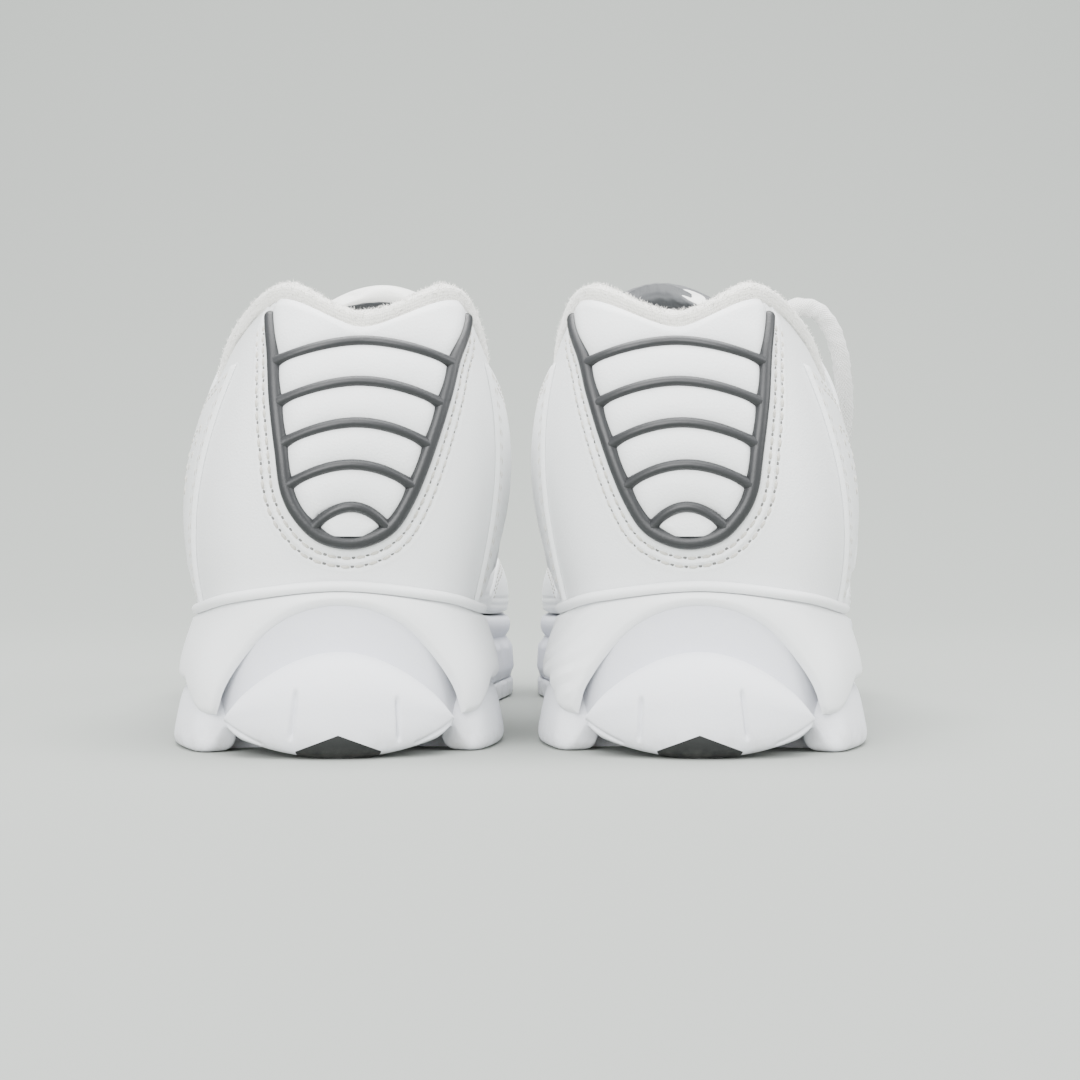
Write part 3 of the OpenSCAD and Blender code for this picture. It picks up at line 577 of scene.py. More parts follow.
def ground(y):
    """Height of the sole's underside: flat to the ball, then up to the toe."""
    half = (SPRING_FROM + FRONT) / 2
    return np.interp(y, [0, SPRING_FROM, half, FRONT],
                     [0, 0, TOE_SPRING * 0.3, TOE_SPRING]) * smooth_step((y - 200) / 30)


SPINE_X, SPINE_FROM, SPINE_TO = -2.0, 34.0, 236.0
TREAD_AT = [0, 0.3, 0.42, 0.5, 0.62, 0.86, 0.95, 1]
TREAD_OUT = [-3, -3, 2.0, 3.2, 3.4, 3.4, 3.0, 1.6]
TREAD_UP = [0, 0, 0.05, 0.7, 2, 4.6, 5.3, 5.5]
FLEX_EVERY = 11.0


def to_spine(p, share):
    """Draws points of the outline in towards the line down the middle of the foot."""
    spine = np.stack([np.full(len(p), SPINE_X), np.clip(p[:, 1], SPINE_FROM, SPINE_TO),
                      p[:, 2]], 1)
    return mix(p, spine, share[:, None])


def outsole_place(s, t):
    u = mix(1.7, 2 * TOE - 1.7, s)
    p = edge_at(u, np.zeros_like(u))
    run = p[:, 1] + np.sign(around(u)) * 3
    notch = np.clip(1 - np.abs(((run - 4) % FLEX_EVERY) - FLEX_EVERY / 2) / 0.9, 0, 1)
    notch = notch * ((p[:, 1] > 78) & (p[:, 1] < 250)) * smooth_step((t - 0.36) / 0.08)
    p = edge_at(u, np.interp(t, TREAD_AT, TREAD_OUT) - 1.1 * notch)
    p = to_spine(p, np.clip((0.3 - t) / 0.3, 0, 1))
    p[:, 2] = ground(p[:, 1]) + np.interp(t, TREAD_AT, TREAD_UP)
    return p


LUG_FROM = 1.27


def lug_place(turn):
    def place(s, t):
        """The rubber lug at one side of the heel: a closed rounded bar along the side."""
        u = turn * mix(LUG_FROM, 3.7, s)
        angle = 2 * math.pi * t
        swell = np.clip(1 - (1 - np.clip(s / 0.12, 0, 1)) ** 2.5, 0, 1) ** 0.5
        fade = smooth_step((1 - s) / 0.45)
        c = np.sign(np.cos(angle)) * np.abs(np.cos(angle)) ** 0.45
        d = np.sign(np.sin(angle)) * np.abs(np.sin(angle)) ** 0.45
        high = mix(5.6, 13.6, fade) * swell
        reach = mix(3.2, 6.6, fade) * swell
        slope = 1 - 0.30 * (d + 1) / 2
        out = 0.2 + (reach + 2.6) * (c + 1) / 2 * slope - 2.0
        p = edge_at(u, out)
        p[:, 2] = mix(7.2 * (1 - swell), 0, swell) + high * (d + 1) / 2
        return p
    return place


BUMPER_R = 34
LENS_HALF = 26
LENS_CREST, LENS_END, LENS_LOW = 22.3, 10.6, 4.4
LENS_NOSE = 4.2
LENS_RISE = LENS_CREST - LENS_END
LENS_TOP_R = (LENS_HALF ** 2 + LENS_RISE ** 2) / (2 * LENS_RISE)
LENS_LOW_R = (LENS_HALF ** 2 + LENS_LOW ** 2) / (2 * LENS_LOW)
CUTS = [(-12.6, 3.0, 13.5, 0.35), (9.6, 3.6, 15.2, -0.9)]


def lens_top(x):
    return LENS_CREST - LENS_TOP_R + np.sqrt(np.maximum(LENS_TOP_R ** 2 - x * x, 0))


def lens_low(x):
    return LENS_LOW_R - np.sqrt(np.maximum(LENS_LOW_R ** 2 - x * x, 0))


def lens_point(x, angle, sunk=0.0):
    """On the rubber lens behind the heel; angle goes from -90 under it to 90 over it."""
    low, high = lens_low(x), lens_top(x)
    nose = np.sqrt(np.clip(1 - np.clip((np.abs(x) - LENS_HALF + LENS_NOSE) / LENS_NOSE, 0, 1) ** 2,
                           0, 1))
    middle, half = (low + high) / 2, (high - low) / 2 * nose
    c, d = np.cos(angle), np.sin(angle)
    rise = np.sign(d) * np.abs(d) ** np.where(d > 0, 1.0, 0.75)
    depth = np.where(c > 0, np.maximum(c, 0) ** np.where(d > 0, 0.85, 0.42), 0)
    end = np.clip(1 - np.abs(x / LENS_HALF) ** 6, 0, 1) ** 0.5
    back = np.where(c > 0, 0, 2.5 * np.abs(c))
    r = BUMPER_R - 7.5 - back + (7.5 * depth) * mix(0.75, 1, end) - sunk
    theta = np.arcsin(np.clip(x / BUMPER_R, -1, 1))
    return np.stack([r * np.sin(theta), BUMPER_R - r * np.cos(theta),
                     middle + half * rise], 1)


def cut_depth(x, z):
    """Moulded grooves: two upright ones, and a slanted one near each end of the lens."""
    deep = np.zeros_like(x)
    for at_x, low, high, lean in CUTS:
        line = at_x + lean * (z - 8) / 8
        inside = smooth_step((z - low) / 2) * smooth_step((high - z) / 2)
        deep = np.maximum(deep, np.exp(-((x - line) / 0.42) ** 2) * inside)
    for sign in (-1, 1):
        run = (sign * x - 15.5) / 9.5
        line = 2.9 + 4.6 * np.clip(run, 0, 1) ** 1.3
        inside = smooth_step(run / 0.15) * smooth_step((1 - run) / 0.1)
        deep = np.maximum(deep, 0.6 * np.exp(-((z - line) / 0.4) ** 2) * inside)
    return deep


def lens_place(s, t):
    x = LENS_HALF * np.sin(math.pi * (s - 0.5)) * 0.999
    x = mix(LENS_HALF * (2 * s - 1), x, 0.25)
    angle = (-math.pi / 2 + math.pi * np.clip(t / 0.8, 0, 1)
             + math.pi * np.clip((t - 0.8) / 0.2, 0, 1))
    first = lens_point(x, angle)
    return lens_point(x, angle, 1.2 * cut_depth(first[:, 0], first[:, 2]) * (np.cos(angle) > 0))


INLAY_HALF, INLAY_EDGE, INLAY_CROWN = 9.5, 1.6, 5.2


def inlay_place(s, t):
    x = INLAY_HALF * (2 * s - 1)
    low = lens_low(x) + 0.02
    high = INLAY_EDGE + (INLAY_CROWN - INLAY_EDGE) * (1 - np.abs(x / INLAY_HALF))
    z = mix(low, np.maximum(high, low + 0.05), t)
    middle, half = (lens_low(x) + lens_top(x)) / 2, (lens_top(x) - lens_low(x)) / 2
    share = np.clip((z - middle) / half, -1, 0)
    angle = np.arcsin(np.clip(-np.abs(share) ** (1 / 0.75), -1, 1))
    return lens_point(x, angle, -0.12 + 0 * x)


for side in SIDES:
    tread = grid_piece(f"{side}_outsole", side, 600, 20, outsole_place, wall=2.2, sharp=40)
    goes_with(tread, side, "shoe", white_rubber, ["outsole_fore"], bends=True)
    lens = grid_piece(f"{side}_heel_lens", side, 200, 80, lens_place, sharp=60)
    goes_with(lens, side, "shoe", white_rubber, ["outsole_heel"])
    inlay = grid_piece(f"{side}_heel_inlay", side, 60, 20, inlay_place, wall=0.8)
    goes_with(inlay, side, "shoe", dark_rubber, ["outsole_inlay"])
    for turn, word in ((1, "outer"), (-1, "inner")):
        lug = grid_piece(f"{side}_heel_lug_{word}", side, 90, 40, lug_place(turn), sharp=60)
        goes_with(lug, side, "shoe", white_rubber)

# --- Midsole --------------------------------------------------------------------------------
# Moulded foam in one piece, pale lavender-white, cemented to the outsole. Its side walls carry
# a lip, a channel and a row of pods; at the heel it lies bare inside the cradle's arch.

midsole_foam, sh = moulded_material("midsole_foam", (0.74, 0.75, 0.80), (0.67, 0.68, 0.73),
                                    (0.50, 0.49, 0.47), 0.62, 9.0, 0.7)
sh.inputs["Subsurface Weight"].default_value = 0.12
sh.inputs["Subsurface Radius"].default_value = (0.003, 0.003, 0.0035)
CRADLE_END = 3.35
POD_LONG = 15.5


def midsole_place(s, t):
    u = mix(-TOE, TOE, s)
    w = np.abs(u)
    base = edge_at(u, np.zeros_like(u))
    top = base[:, 2] - 0.5
    low = ground(base[:, 1]) + OUTSOLE + 0.2
    q = np.clip((t - 0.16) / 0.68, 0, 1)
    fore = smooth_step((w - CRADLE_END) / 0.12)
    pod = np.abs(np.sin(math.pi * base[:, 1] / POD_LONG)) ** 0.6
    window = smooth_step((q - 0.06) / 0.12) * smooth_step((0.60 - q) / 0.1)
    channel = np.exp(-((q - 0.66) / 0.045) ** 2)
    lip = np.exp(-((q - 0.86) / 0.11) ** 2)
    slope = mix(3.0, 1.7, q)
    wall = slope + 0.9 * pod * window - 1.0 * channel + 0.7 * lip
    out = mix(1.0, wall, fore)
    curl = np.minimum(smooth_step(q / 0.06), smooth_step((1 - q) / 0.05))
    out = out - 1.1 * (1 - curl) * fore
    under = np.clip((0.16 - t) / 0.16, 0, 1)
    over = np.clip((t - 0.84) / 0.16, 0, 1)
    p = to_spine(edge_at(u, out), 0.7 * np.maximum(under, over))
    p[:, 2] = mix(low, top, q)
    return p


# --- Heel cradle ----------------------------------------------------------------------------
# Smooth moulded cup in white plastic, glued round the foam; an arch is cut out of its back,
# and a rounded bead runs along its top edge where the leather starts.

moulded_white, sh = moulded_material("moulded_white", (0.88, 0.89, 0.89), (0.83, 0.84, 0.85),
                                     (0.52, 0.51, 0.48), 0.40, 6.0, 0.5)
sh.inputs["Coat Weight"].default_value = 0.12
sh.inputs["Coat Roughness"].default_value = 0.3
ARCH_R, ARCH_Z, ARCH_FOOT = 25.6, 6.4, 8.4


def cradle_low(u):
    p = edge_at(u, np.full_like(u, 3.0))
    x, w = np.abs(p[:, 0]), np.abs(u)
    arch = ARCH_Z + np.sqrt(np.maximum(ARCH_R ** 2 - x * x, 0))
    rise = ARCH_FOOT + 6.4 * smooth_step((w - 1.36) / 0.55)
    back = smooth_step((1.5 - w) / 0.05)
    low = np.maximum(arch, rise) * back + rise * (1 - back)
    return low


def cradle_place_for(side):
    def place(s, t):
        u = CRADLE_END * (2 * s - 1)
        w = np.abs(u)
        low = cradle_low(u)
        top = foot_at(u)[:, 2] - 0.9
        z = mix(low, top, t)
        sides = 0.25 + 0.75 * smooth_step((w - 0.7) / 0.8)
        out = 2.0 + 4.0 * smooth_step((33 - z) / 21) * sides + 0.5 * np.sin(math.pi * t)
        edge = np.minimum((z - low) / 2.0, (CRADLE_END - w) * 26 / 2.0)
        out = out - 1.5 * (1 - np.sqrt(np.clip(1 - (1 - np.clip(edge, 0, 1)) ** 2, 0, 1)))
        out = out - 0.9 * smooth_step((t - 0.93) / 0.07)
        if side == "right":
            crease = smooth_step((-u - 0.95) / 0.3) * smooth_step((2.5 + u) / 0.4)
            line = z + 9 * w
            out = out + 0.22 * crease * np.sin(line * 1.15 + 1.3 * np.sin(z * 0.35)) ** 3
        p = edge_at(u, out)
        p[:, 2] = z
        return p
    return place


for side in SIDES:
    midsole = grid_piece(f"{side}_midsole", side, 380, 36, midsole_place, wall=2.0, sharp=40)
    goes_with(midsole, side, "shoe", midsole_foam,
              ["midsole_rear", "midsole_fore"], bends=True)
    cradle = grid_piece(f"{side}_heel_cradle", side, 200, 48, cradle_place_for(side), wall=1.3)
    goes_with(cradle, side, "shoe", moulded_white, ["heel_cradle"])
    stations = np.linspace(-CRADLE_END, CRADLE_END, 200)
    bead_line = edge_at(stations, np.full_like(stations, 1.7)) + [0, 0, 0.25]
    bead = tube_piece(f"{side}_cradle_bead", side, bead_line, 2.3, 2.3, around=16, ends=1.5)
    goes_with(bead, side, "shoe", moulded_white)

# --- Insides: board, shank, counter, footbed and lining ---------------------------------------
# Stiff board and shank under the foot, a counter round the heel, then a foam footbed with a
# woven cover and a padded knit lining that is glued to the leather's inner side.

knit, kn, kl, k_in, k_out = new_group(
    "knit", [("Vector", "NodeSocketVector", None), ("Loop mm", "NodeSocketFloat", 1.0)],
    [("Height", "NodeSocketFloat"), ("Gap", "NodeSocketFloat")])
cells = kn.new("ShaderNodeTexVoronoi")
cells.inputs["Randomness"].default_value = 0.35
kl.new(k_in.outputs["Vector"], cells.inputs["Vector"])
kl.new(math_node(kn, kl, "DIVIDE", 1.0, k_in.outputs["Loop mm"]), cells.inputs["Scale"])
kl.new(math_node(kn, kl, "SUBTRACT", 1.0, cells.outputs["Distance"]), k_out.inputs["Height"])
# The second output is painted shade, growing towards the gaps between the loops.
kl.new(math_node(kn, kl, "MULTIPLY", cells.outputs["Distance"], 1.3, clamp=True),
       k_out.inputs["Gap"])


def cloth_material(name, light, dark, loop_mm, rough, bump, sheen=0.3):
    material, sh, nodes, links = new_material(name, light, rough)
    sh.inputs["Sheen Weight"].default_value = sheen
    knitted = use_group(nodes, knit, Loop_mm=loop_mm)
    links.new(nodes.new("ShaderNodeUVMap").outputs[0], knitted.inputs["Vector"])
    # The dark colour is painted shade in the gaps between the loops.
    links.new(two_tone(nodes, links, knitted.outputs["Gap"], light, dark),
              sh.inputs["Base Color"])
    bump_to(sh, nodes, links, knitted.outputs["Height"], bump, 0.7)
    return material


# Each cloth's second colour is painted shade between its loops.
lining_cloth = cloth_material("lining_cloth", (0.66, 0.66, 0.64), (0.40, 0.40, 0.39), 1.1, 0.9,
                              0.3)
footbed_cloth = cloth_material("footbed_cloth", (0.62, 0.63, 0.63), (0.42, 0.43, 0.43), 0.9,
                               0.92, 0.25)
board_fibre, sh, nodes, links = new_material("board_fibre", (0.5, 0.4, 0.28), 0.85)
at = nodes.new("ShaderNodeTexCoord").outputs["Object"]
flecks = noise_node(nodes, links, at, 700.0, 4.0, 0.7)
links.new(two_tone(nodes, links, flecks, (0.58, 0.48, 0.34), (0.36, 0.28, 0.18)),
          sh.inputs["Base Color"])
bump_to(sh, nodes, links, flecks, 0.1)
BOARD_IN = 5.3
FOOTBED_UP = 3.4


def footbed_place(s, t):
    w = TOE * s
    a, b = edge_at(-w, np.full_like(w, -BOARD_IN)), edge_at(w, np.full_like(w, -BOARD_IN))
    p = a + (b - a) * t[:, None]
    across = (2 * t - 1) ** 2
    cup = 3.2 * across ** 3 * smooth_step((0.75 - s) / 0.3) + 0.6 * across
    p[:, 2] += FOOTBED_UP + cup * smooth_step(s / 0.04) + 1.6 * np.exp(-((s - 0.52) / 0.1) ** 2)
    return p


def lining_place(s, t):
    u = mix(-6.98, 6.98, s)
    v = mix(0.01, 1.0, t) * mix(1, 0.985, smooth_step((np.abs(u) - 6.5) / 0.5))
    return layer(u, v, LINER_OUT - 0.05 + 0 * u)


def toe_lining_place(s, t):
    return layer(mix(7.0, 13.0, s), mix(0.01, 1.0, t), LINER_OUT - 0.05 + 0 * s)


def node_material(node, material):
    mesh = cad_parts[node].data
    mesh.materials.clear()
    mesh.materials.append(material)


for side in SIDES:
    for node in ("insole_board", "heel_counter"):
        node_material(f"{side}_{node}", board_fibre)
    node_material(f"{side}_shank", moulded_white)
    bed = grid_piece(f"{side}_footbed", side, 110, 36, footbed_place, uv_mm=(255, 75), wall=3.0)
    goes_with(bed, side, "shoe", footbed_cloth, ["sockliner"], bends=True)
    lining = grid_piece(f"{side}_lining", side, 170, 26, lining_place, uv_mm=(420, 60), wall=1.8)
    goes_with(lining, side, "shoe", lining_cloth, ["lining"], bends=True)
    cap_lining = grid_piece(f"{side}_toe_lining", side, 70, 16, toe_lining_place,
                            uv_mm=(200, 60), wall=1.6)
    goes_with(cap_lining, side, "shoe", lining_cloth, ["toe_lining"], bends=True)

# --- Leather --------------------------------------------------------------------------------
# Full-grain white leather with a polished finish: tiny pores and creases, a soft gloss that
# changes a little from place to place.

grain, gn, gl, g_in, g_out = new_group(
    "grain", [("Pore size", "NodeSocketFloat", 1.0)],
    [("Height", "NodeSocketFloat"), ("Gloss", "NodeSocketFloat"), ("Tone", "NodeSocketFloat")])
at = gn.new("ShaderNodeTexCoord").outputs["Object"]
bent = gn.new("ShaderNodeVectorMath")
bent.operation = "MULTIPLY_ADD"
wobble = gn.new("ShaderNodeTexNoise")
wobble.inputs["Scale"].default_value = 350
gl.new(at, wobble.inputs["Vector"])
gl.new(wobble.outputs["Color"], bent.inputs[0])
bent.inputs[1].default_value = (0.0012, 0.0012, 0.0012)
gl.new(at, bent.inputs[2])
pores = gn.new("ShaderNodeTexVoronoi")
pores.feature = "DISTANCE_TO_EDGE"
gl.new(bent.outputs[0], pores.inputs["Vector"])
gl.new(math_node(gn, gl, "MULTIPLY", g_in.outputs["Pore size"], 1150.0), pores.inputs["Scale"])
plump = math_node(gn, gl, "MULTIPLY", pores.outputs["Distance"], 2.6, clamp=True)
soft = noise_node(gn, gl, at, 130.0, 4.0, 0.6)
gl.new(math_node(gn, gl, "ADD", plump, math_node(gn, gl, "MULTIPLY", soft, 0.8)),
       g_out.inputs["Height"])
gl.new(noise_node(gn, gl, at, 60.0, 5.0, 0.65), g_out.inputs["Gloss"])
gl.new(noise_node(gn, gl, at, 24.0, 3.0, 0.5), g_out.inputs["Tone"])


def leather_material(name, light, shade, rough, bump, coat):
    material, sh, nodes, links = new_material(name, light, rough)
    sh.inputs["Coat Weight"].default_value = coat
    sh.inputs["Coat Roughness"].default_value = 0.28
    skin = use_group(nodes, grain, Pore_size=1.0)
    links.new(two_tone(nodes, links, skin.outputs["Tone"], light, shade),
              sh.inputs["Base Color"])
    range_to(nodes, links, skin.outputs["Gloss"], sh.inputs["Roughness"], rough - 0.08,
             rough + 0.12)
    bump_to(sh, nodes, links, skin.outputs["Height"], bump, 0.35)
    return material


white_leather = leather_material("white_leather", (0.86, 0.87, 0.87), (0.82, 0.835, 0.84), 0.42,
                                 0.10, 0.15)
overlay_leather = leather_material("overlay_leather", (0.87, 0.88, 0.88), (0.83, 0.845, 0.85),
                                   0.36, 0.08, 0.22)
rim_leather = leather_material("rim_leather", (0.85, 0.85, 0.82), (0.81, 0.81, 0.77), 0.5, 0.10,
                               0.08)


# --- Stitching ------------------------------------------------------------------------------
# Twin rows of thick cream thread, about 3 mm to a stitch, each stitch pulled a little into the
# leather between two needle holes.

thread, sh, nodes, links = new_material("thread", (0.62, 0.60, 0.54), 0.8)
sh.inputs["Sheen Weight"].default_value = 0.3
at = nodes.new("ShaderNodeTexCoord").outputs["Object"]
ply = noise_node(nodes, links, at, 2600.0, 3.0, 0.6)
links.new(two_tone(nodes, links, ply, (0.66, 0.64, 0.58), (0.44, 0.42, 0.37)),
          sh.inputs["Base Color"])
bump_to(sh, nodes, links, ply, 0.08, 0.6)
# Needle holes are drawn as dark dots: painted shade inside each hole.
needle_hole_shade, sh, nodes, links = new_material("needle_hole_shade", (0.16, 0.16, 0.15), 0.9)
at = nodes.new("ShaderNodeTexCoord").outputs["Object"]
links.new(two_tone(nodes, links, noise_node(nodes, links, at, 800.0), (0.20, 0.20, 0.19),
                   (0.09, 0.09, 0.09)), sh.inputs["Base Color"])
STITCH = 3.0


def dots(name, side, centres, ways, normals, half_sizes):
    """Small rounded grains laid on a surface along given directions."""
    bm = bmesh.new()
    base = placed(centres, side)
    ahead = unit(placed(centres + ways, side) - base)
    up = unit(placed(centres + normals, side) - base)
    up = unit(up - ahead * np.sum(up * ahead, 1, keepdims=True))
    across = np.cross(up, ahead)
    for c, x, y, z in zip(base, ahead, across, up):
        m = Matrix([[x[k] * half_sizes[0] * MM, y[k] * half_sizes[1] * MM,
                     z[k] * half_sizes[2] * MM, c[k]] for k in range(3)] + [[0, 0, 0, 1]])
        bmesh.ops.create_icosphere(bm, subdivisions=1, radius=1, matrix=m)
    return finish_mesh(name, bm, "right", sharp=180)


def stitching(name, side, rows, part="shoe", bends=False):
    """Stitches along rows of (points, normals), with dark dots of painted shade in their needle
    holes.
    """
    mid, ways, ups, holes, hole_ways, hole_ups = [], [], [], [], [], []
    for points, normals in rows:
        run = arc(points)
        count = max(int(run[-1] / STITCH), 2)
        at = (np.arange(count) + 0.5) * run[-1] / count
        p = np.stack([np.interp(at, run, points[:, k]) for k in range(3)], 1)
        n = unit(np.stack([np.interp(at, run, normals[:, k]) for k in range(3)], 1))
        w = unit(np.gradient(p, axis=0))
        mid.append(p + n * 0.02)
        ways.append(w)
        ups.append(n)
        holes.append(p[:-1] + np.diff(p, axis=0) / 2 - n[:-1] * 0.02)
        hole_ways.append(w[:-1])
        hole_ups.append(n[:-1])
    sewn = dots(f"{name}_thread", side, np.vstack(mid), np.vstack(ways), np.vstack(ups),
                (1.12, 0.42, 0.34))
    goes_with(sewn, side, part, thread, bends=bends)
    pricked = dots(f"{name}_holes", side, np.vstack(holes), np.vstack(hole_ways),
                   np.vstack(hole_ups), (0.48, 0.42, 0.14))
    goes_with(pricked, side, part, needle_hole_shade, bends=bends)


def row_on(u, v, off):
    u, v = np.broadcast_arrays(np.asarray(u, float), np.asarray(v, float))
    return layer(u, v, np.full(u.shape, float(off))), face_out(u, v)


def per_mm(u, v, step=0.02):
    """Stations, and levels, to a millimetre at a point of the upper."""
    along = np.linalg.norm(shell(u + step, v) - shell(u - step, v), axis=-1) / (2 * step)
    rise = np.linalg.norm(shell(u, np.minimum(v + step, 1)) - shell(u, np.maximum(v - step, 0)),
                          axis=-1) / (np.minimum(v + step, 1) - np.maximum(v - step, 0))
    return 1 / along, 1 / rise


def beside(u, v, away):
    """A line on the upper moved sideways by some millimetres, to the left of its direction."""
    du, dv = per_mm(u, v)
    gu, gv = np.gradient(u) / du, np.gradient(v) / dv
    size = np.maximum(np.hypot(gu, gv), 1e-9)
    return u - gv / size * away * du, v + gu / size * away * dv

# --- Heel: leather, padded windows and rubber clip --------------------------------------------
# One leather panel wraps the heel. A U-shaped clip of dark grey rubber with arched ribs is let
# into it, and white padded leather swells between the ribs. Two rows of stitching follow the U.

CLIP_LATERAL = [[9.8, -0.06], [11.3, 0.2], [15.5, 0.4], [20.7, 0.53], [29, 0.63], [39, 0.76],
                [50, 0.91], [59, 1.1]]
CLIP_MEDIAL = [[9.8, -0.06], [10.7, -0.28], [13.4, -0.45], [18.6, -0.56], [25, -0.64],
               [33, -0.72], [41.5, -0.81], [50, -0.93], [59, -1.22]]
RIBS = 5
RIB_LOW, RIB_HIGH, RIB_DROP = 17.2, 51.8, 4.4
CLIP_WIDE, RIB_WIDE = 3.3, 2.35
RIDE = 2.35
clip_route = np.array(CLIP_MEDIAL[:0:-1] + CLIP_LATERAL)
clip_rise, clip_u = smoothed(clip_route, 24).T


def level_of(u, rise):
    f, t = foot_at(u)[..., 2], top_at(u)[..., 2]
    return (HEEL_LIFT + rise - f) / (t - f)


def rise_of(u, v):
    f, t = foot_at(u)[..., 2], top_at(u)[..., 2]
    return mix(f, t, v) - HEEL_LIFT


def clip_edge(turn, rise):
    table = np.array(CLIP_MEDIAL if turn < 0 else CLIP_LATERAL)
    return np.interp(rise, table[:, 0], table[:, 1])


clip_v = level_of(clip_u, clip_rise)
clip_dots = shell(clip_u, clip_v)


def from_clip(u, v):
    """Distance outside the clip's middle line, in millimetres; negative inside the U."""
    p = shell(u, v)
    rise = rise_of(u, v)
    gap = np.full(len(p), 1e9)
    for q in clip_dots[::2]:
        gap = np.minimum(gap, np.linalg.norm(p - q, axis=1))
    inside = (u > clip_edge(-1, rise)) & (u < clip_edge(1, rise)) & (rise > 9.8)
    return np.where(inside, -gap, gap)


ROW_NEAR, ROW_FAR = 3.7, 5.6


def heel_place(s, t):
    u = mix(-RIDE, RIDE, s)
    d = from_clip(u, t)
    off = (0.35 * np.exp(-((d - 2.1) / 0.7) ** 2) - 0.5 * np.exp(-((d - ROW_NEAR) / 0.5) ** 2)
           - 0.5 * np.exp(-((d - ROW_FAR) / 0.5) ** 2)
           + 0.22 * np.exp(-((d - 4.65) / 0.5) ** 2)
           + 0.25 * smooth_step((7.2 - d) / 1.2) - 1.0 * smooth_step(-d / 0.8))
    return layer(u, t, off)


PAD_FROM = 11.2


def pad_place(s, t):
    low = PAD_FROM + 0 * s
    a = clip_edge(-1, mix(low, 60, t)) + 0.02
    b = clip_edge(1, mix(low, 60, t)) - 0.02
    u = mix(a, b, s)
    top = rise_of(u, np.ones_like(u)) - 0.1
    rise = mix(low, top, t)
    a, b = clip_edge(-1, rise) + 0.02, clip_edge(1, rise) - 0.02
    u = mix(a, b, s)
    v = np.minimum(level_of(u, rise), 0.998)
    arch = (2 * s - 1) ** 2
    k = (rise + RIB_DROP * arch - RIB_LOW) / ((RIB_HIGH - RIB_LOW) / (RIBS - 1))
    part = np.where(k < 0, np.clip(1 + k / 1.0, 0, 1), np.where(k > RIBS - 1, 0.5, k % 1.0))
    upper = np.clip((k - (RIBS - 1)) / 2.0, 0, 1)
    puff = np.where(k > RIBS - 1,
                    np.sqrt(np.clip(1 - (1 - np.clip(upper / 0.35, 0, 1)) ** 2, 0, 1)),
                    np.sqrt(np.clip(1 - (2 * part - 1) ** 2, 0, 1)) ** 0.8)
    puff = np.where(k < 0, np.sqrt(np.clip(1 - (2 * np.clip((k + 1.15) / 1.15, 0, 1) - 1) ** 2,
                                           0, 1)), puff)
    near = np.minimum(s, 1 - s) * (b - a) * 16
    edge = np.sqrt(np.clip(1 - (1 - np.clip(near / 3.0, 0, 1)) ** 2, 0, 1))
    top_edge = np.clip((top - rise) / 1.5, 0, 1)
    off = 0.05 + 2.1 * puff * edge + 0.1 * edge - 0.5 * (1 - top_edge)
    return layer(u, v, off)


clip_rubber, sh = moulded_material("clip_rubber", (0.011, 0.012, 0.013), (0.018, 0.019, 0.021),
                                   (0.08, 0.08, 0.08), 0.42, 1.0, 1.2)
sh.inputs["Coat Weight"].default_value = 0.1
sh.inputs["Coat Roughness"].default_value = 0.4


def clip_section(f):
    """The clip's frame narrows towards its two upper ends."""
    return mix(0.86, 1.0, smooth_step(np.minimum(f, 1 - f) / 0.2))


def rib_section(f):
    """Each rib spreads where it joins the frame."""
    return 1 + 0.45 * np.exp(-np.minimum(f, 1 - f) / 0.035)


def soft_ridge(run, angle):
    return 0.10 * np.abs(np.cos(angle)) ** 6


for side in SIDES:
    heel = grid_piece(f"{side}_heel_leather", side, 220, 120, heel_place, wall=1.4, sharp=60)
    goes_with(heel, side, "shoe", white_leather, ["heel_quarter"])
    pad = grid_piece(f"{side}_heel_windows", side, 80, 140, pad_place, wall=0.8, sharp=70)
    goes_with(pad, side, "shoe", white_leather, ["heel_pad"])
    frame_line = layer(clip_u, np.minimum(clip_v, 1.0), np.full(len(clip_u), 1.0))
    clip = tube_piece(f"{side}_heel_clip", side, frame_line, CLIP_WIDE, 2.7, around=20,
                      first=(0, -1, 0), ends=1.6, section=clip_section, relief=soft_ridge)
    goes_with(clip, side, "shoe", clip_rubber, ["heel_clip"])
    for k in range(RIBS):
        crown = mix(RIB_LOW, RIB_HIGH, k / (RIBS - 1))
        a, b = clip_edge(-1, crown - RIB_DROP), clip_edge(1, crown - RIB_DROP)
        f = np.linspace(0, 1, 60)
        u = mix(a, b, f)
        rise = crown - RIB_DROP * (2 * f - 1) ** 2
        line = layer(u, level_of(u, rise), 0.75 + 0.65 * np.sin(math.pi * f) ** 0.5)
        rib = tube_piece(f"{side}_clip_rib_{k + 1}", side, line, RIB_WIDE, 2.3, around=18,
                         first=(0, -1, 0), ends=0.4, section=rib_section, relief=soft_ridge)
        goes_with(rib, side, "shoe", clip_rubber)
    rows = []
    for away in (ROW_NEAR, ROW_FAR):
        u, v = beside(clip_u, clip_v, -away)
        keep = (v < 0.985) & (v > 0)
        rows.append(row_on(u[keep], v[keep], -0.1))
    stitching(f"{side}_heel", side, rows)

# --- Side panels ------------------------------------------------------------------------------
# The leather under the panels runs from the heel to the throat on each side. A thicker panel is
# sewn over it with twin rows, and three padded bars swell between stitched channels on it.

QUARTER_FROM, QUARTER_TO = 2.2, 7.02
PANEL_REAR_LOW, PANEL_REAR_HIGH, PANEL_TO = 2.05, 1.52, 6.55
OVER = 1.1


def quarter_place_for(turn):
    def place(s, t):
        u = mix(QUARTER_FROM, QUARTER_TO, s) if turn > 0 else -mix(QUARTER_TO, QUARTER_FROM, s)
        return layer(u, t)
    return place


def panel_rear(t):
    """The station of the side panel's rear edge, which slants back towards the top."""
    return mix(PANEL_REAR_LOW, PANEL_REAR_HIGH, t)


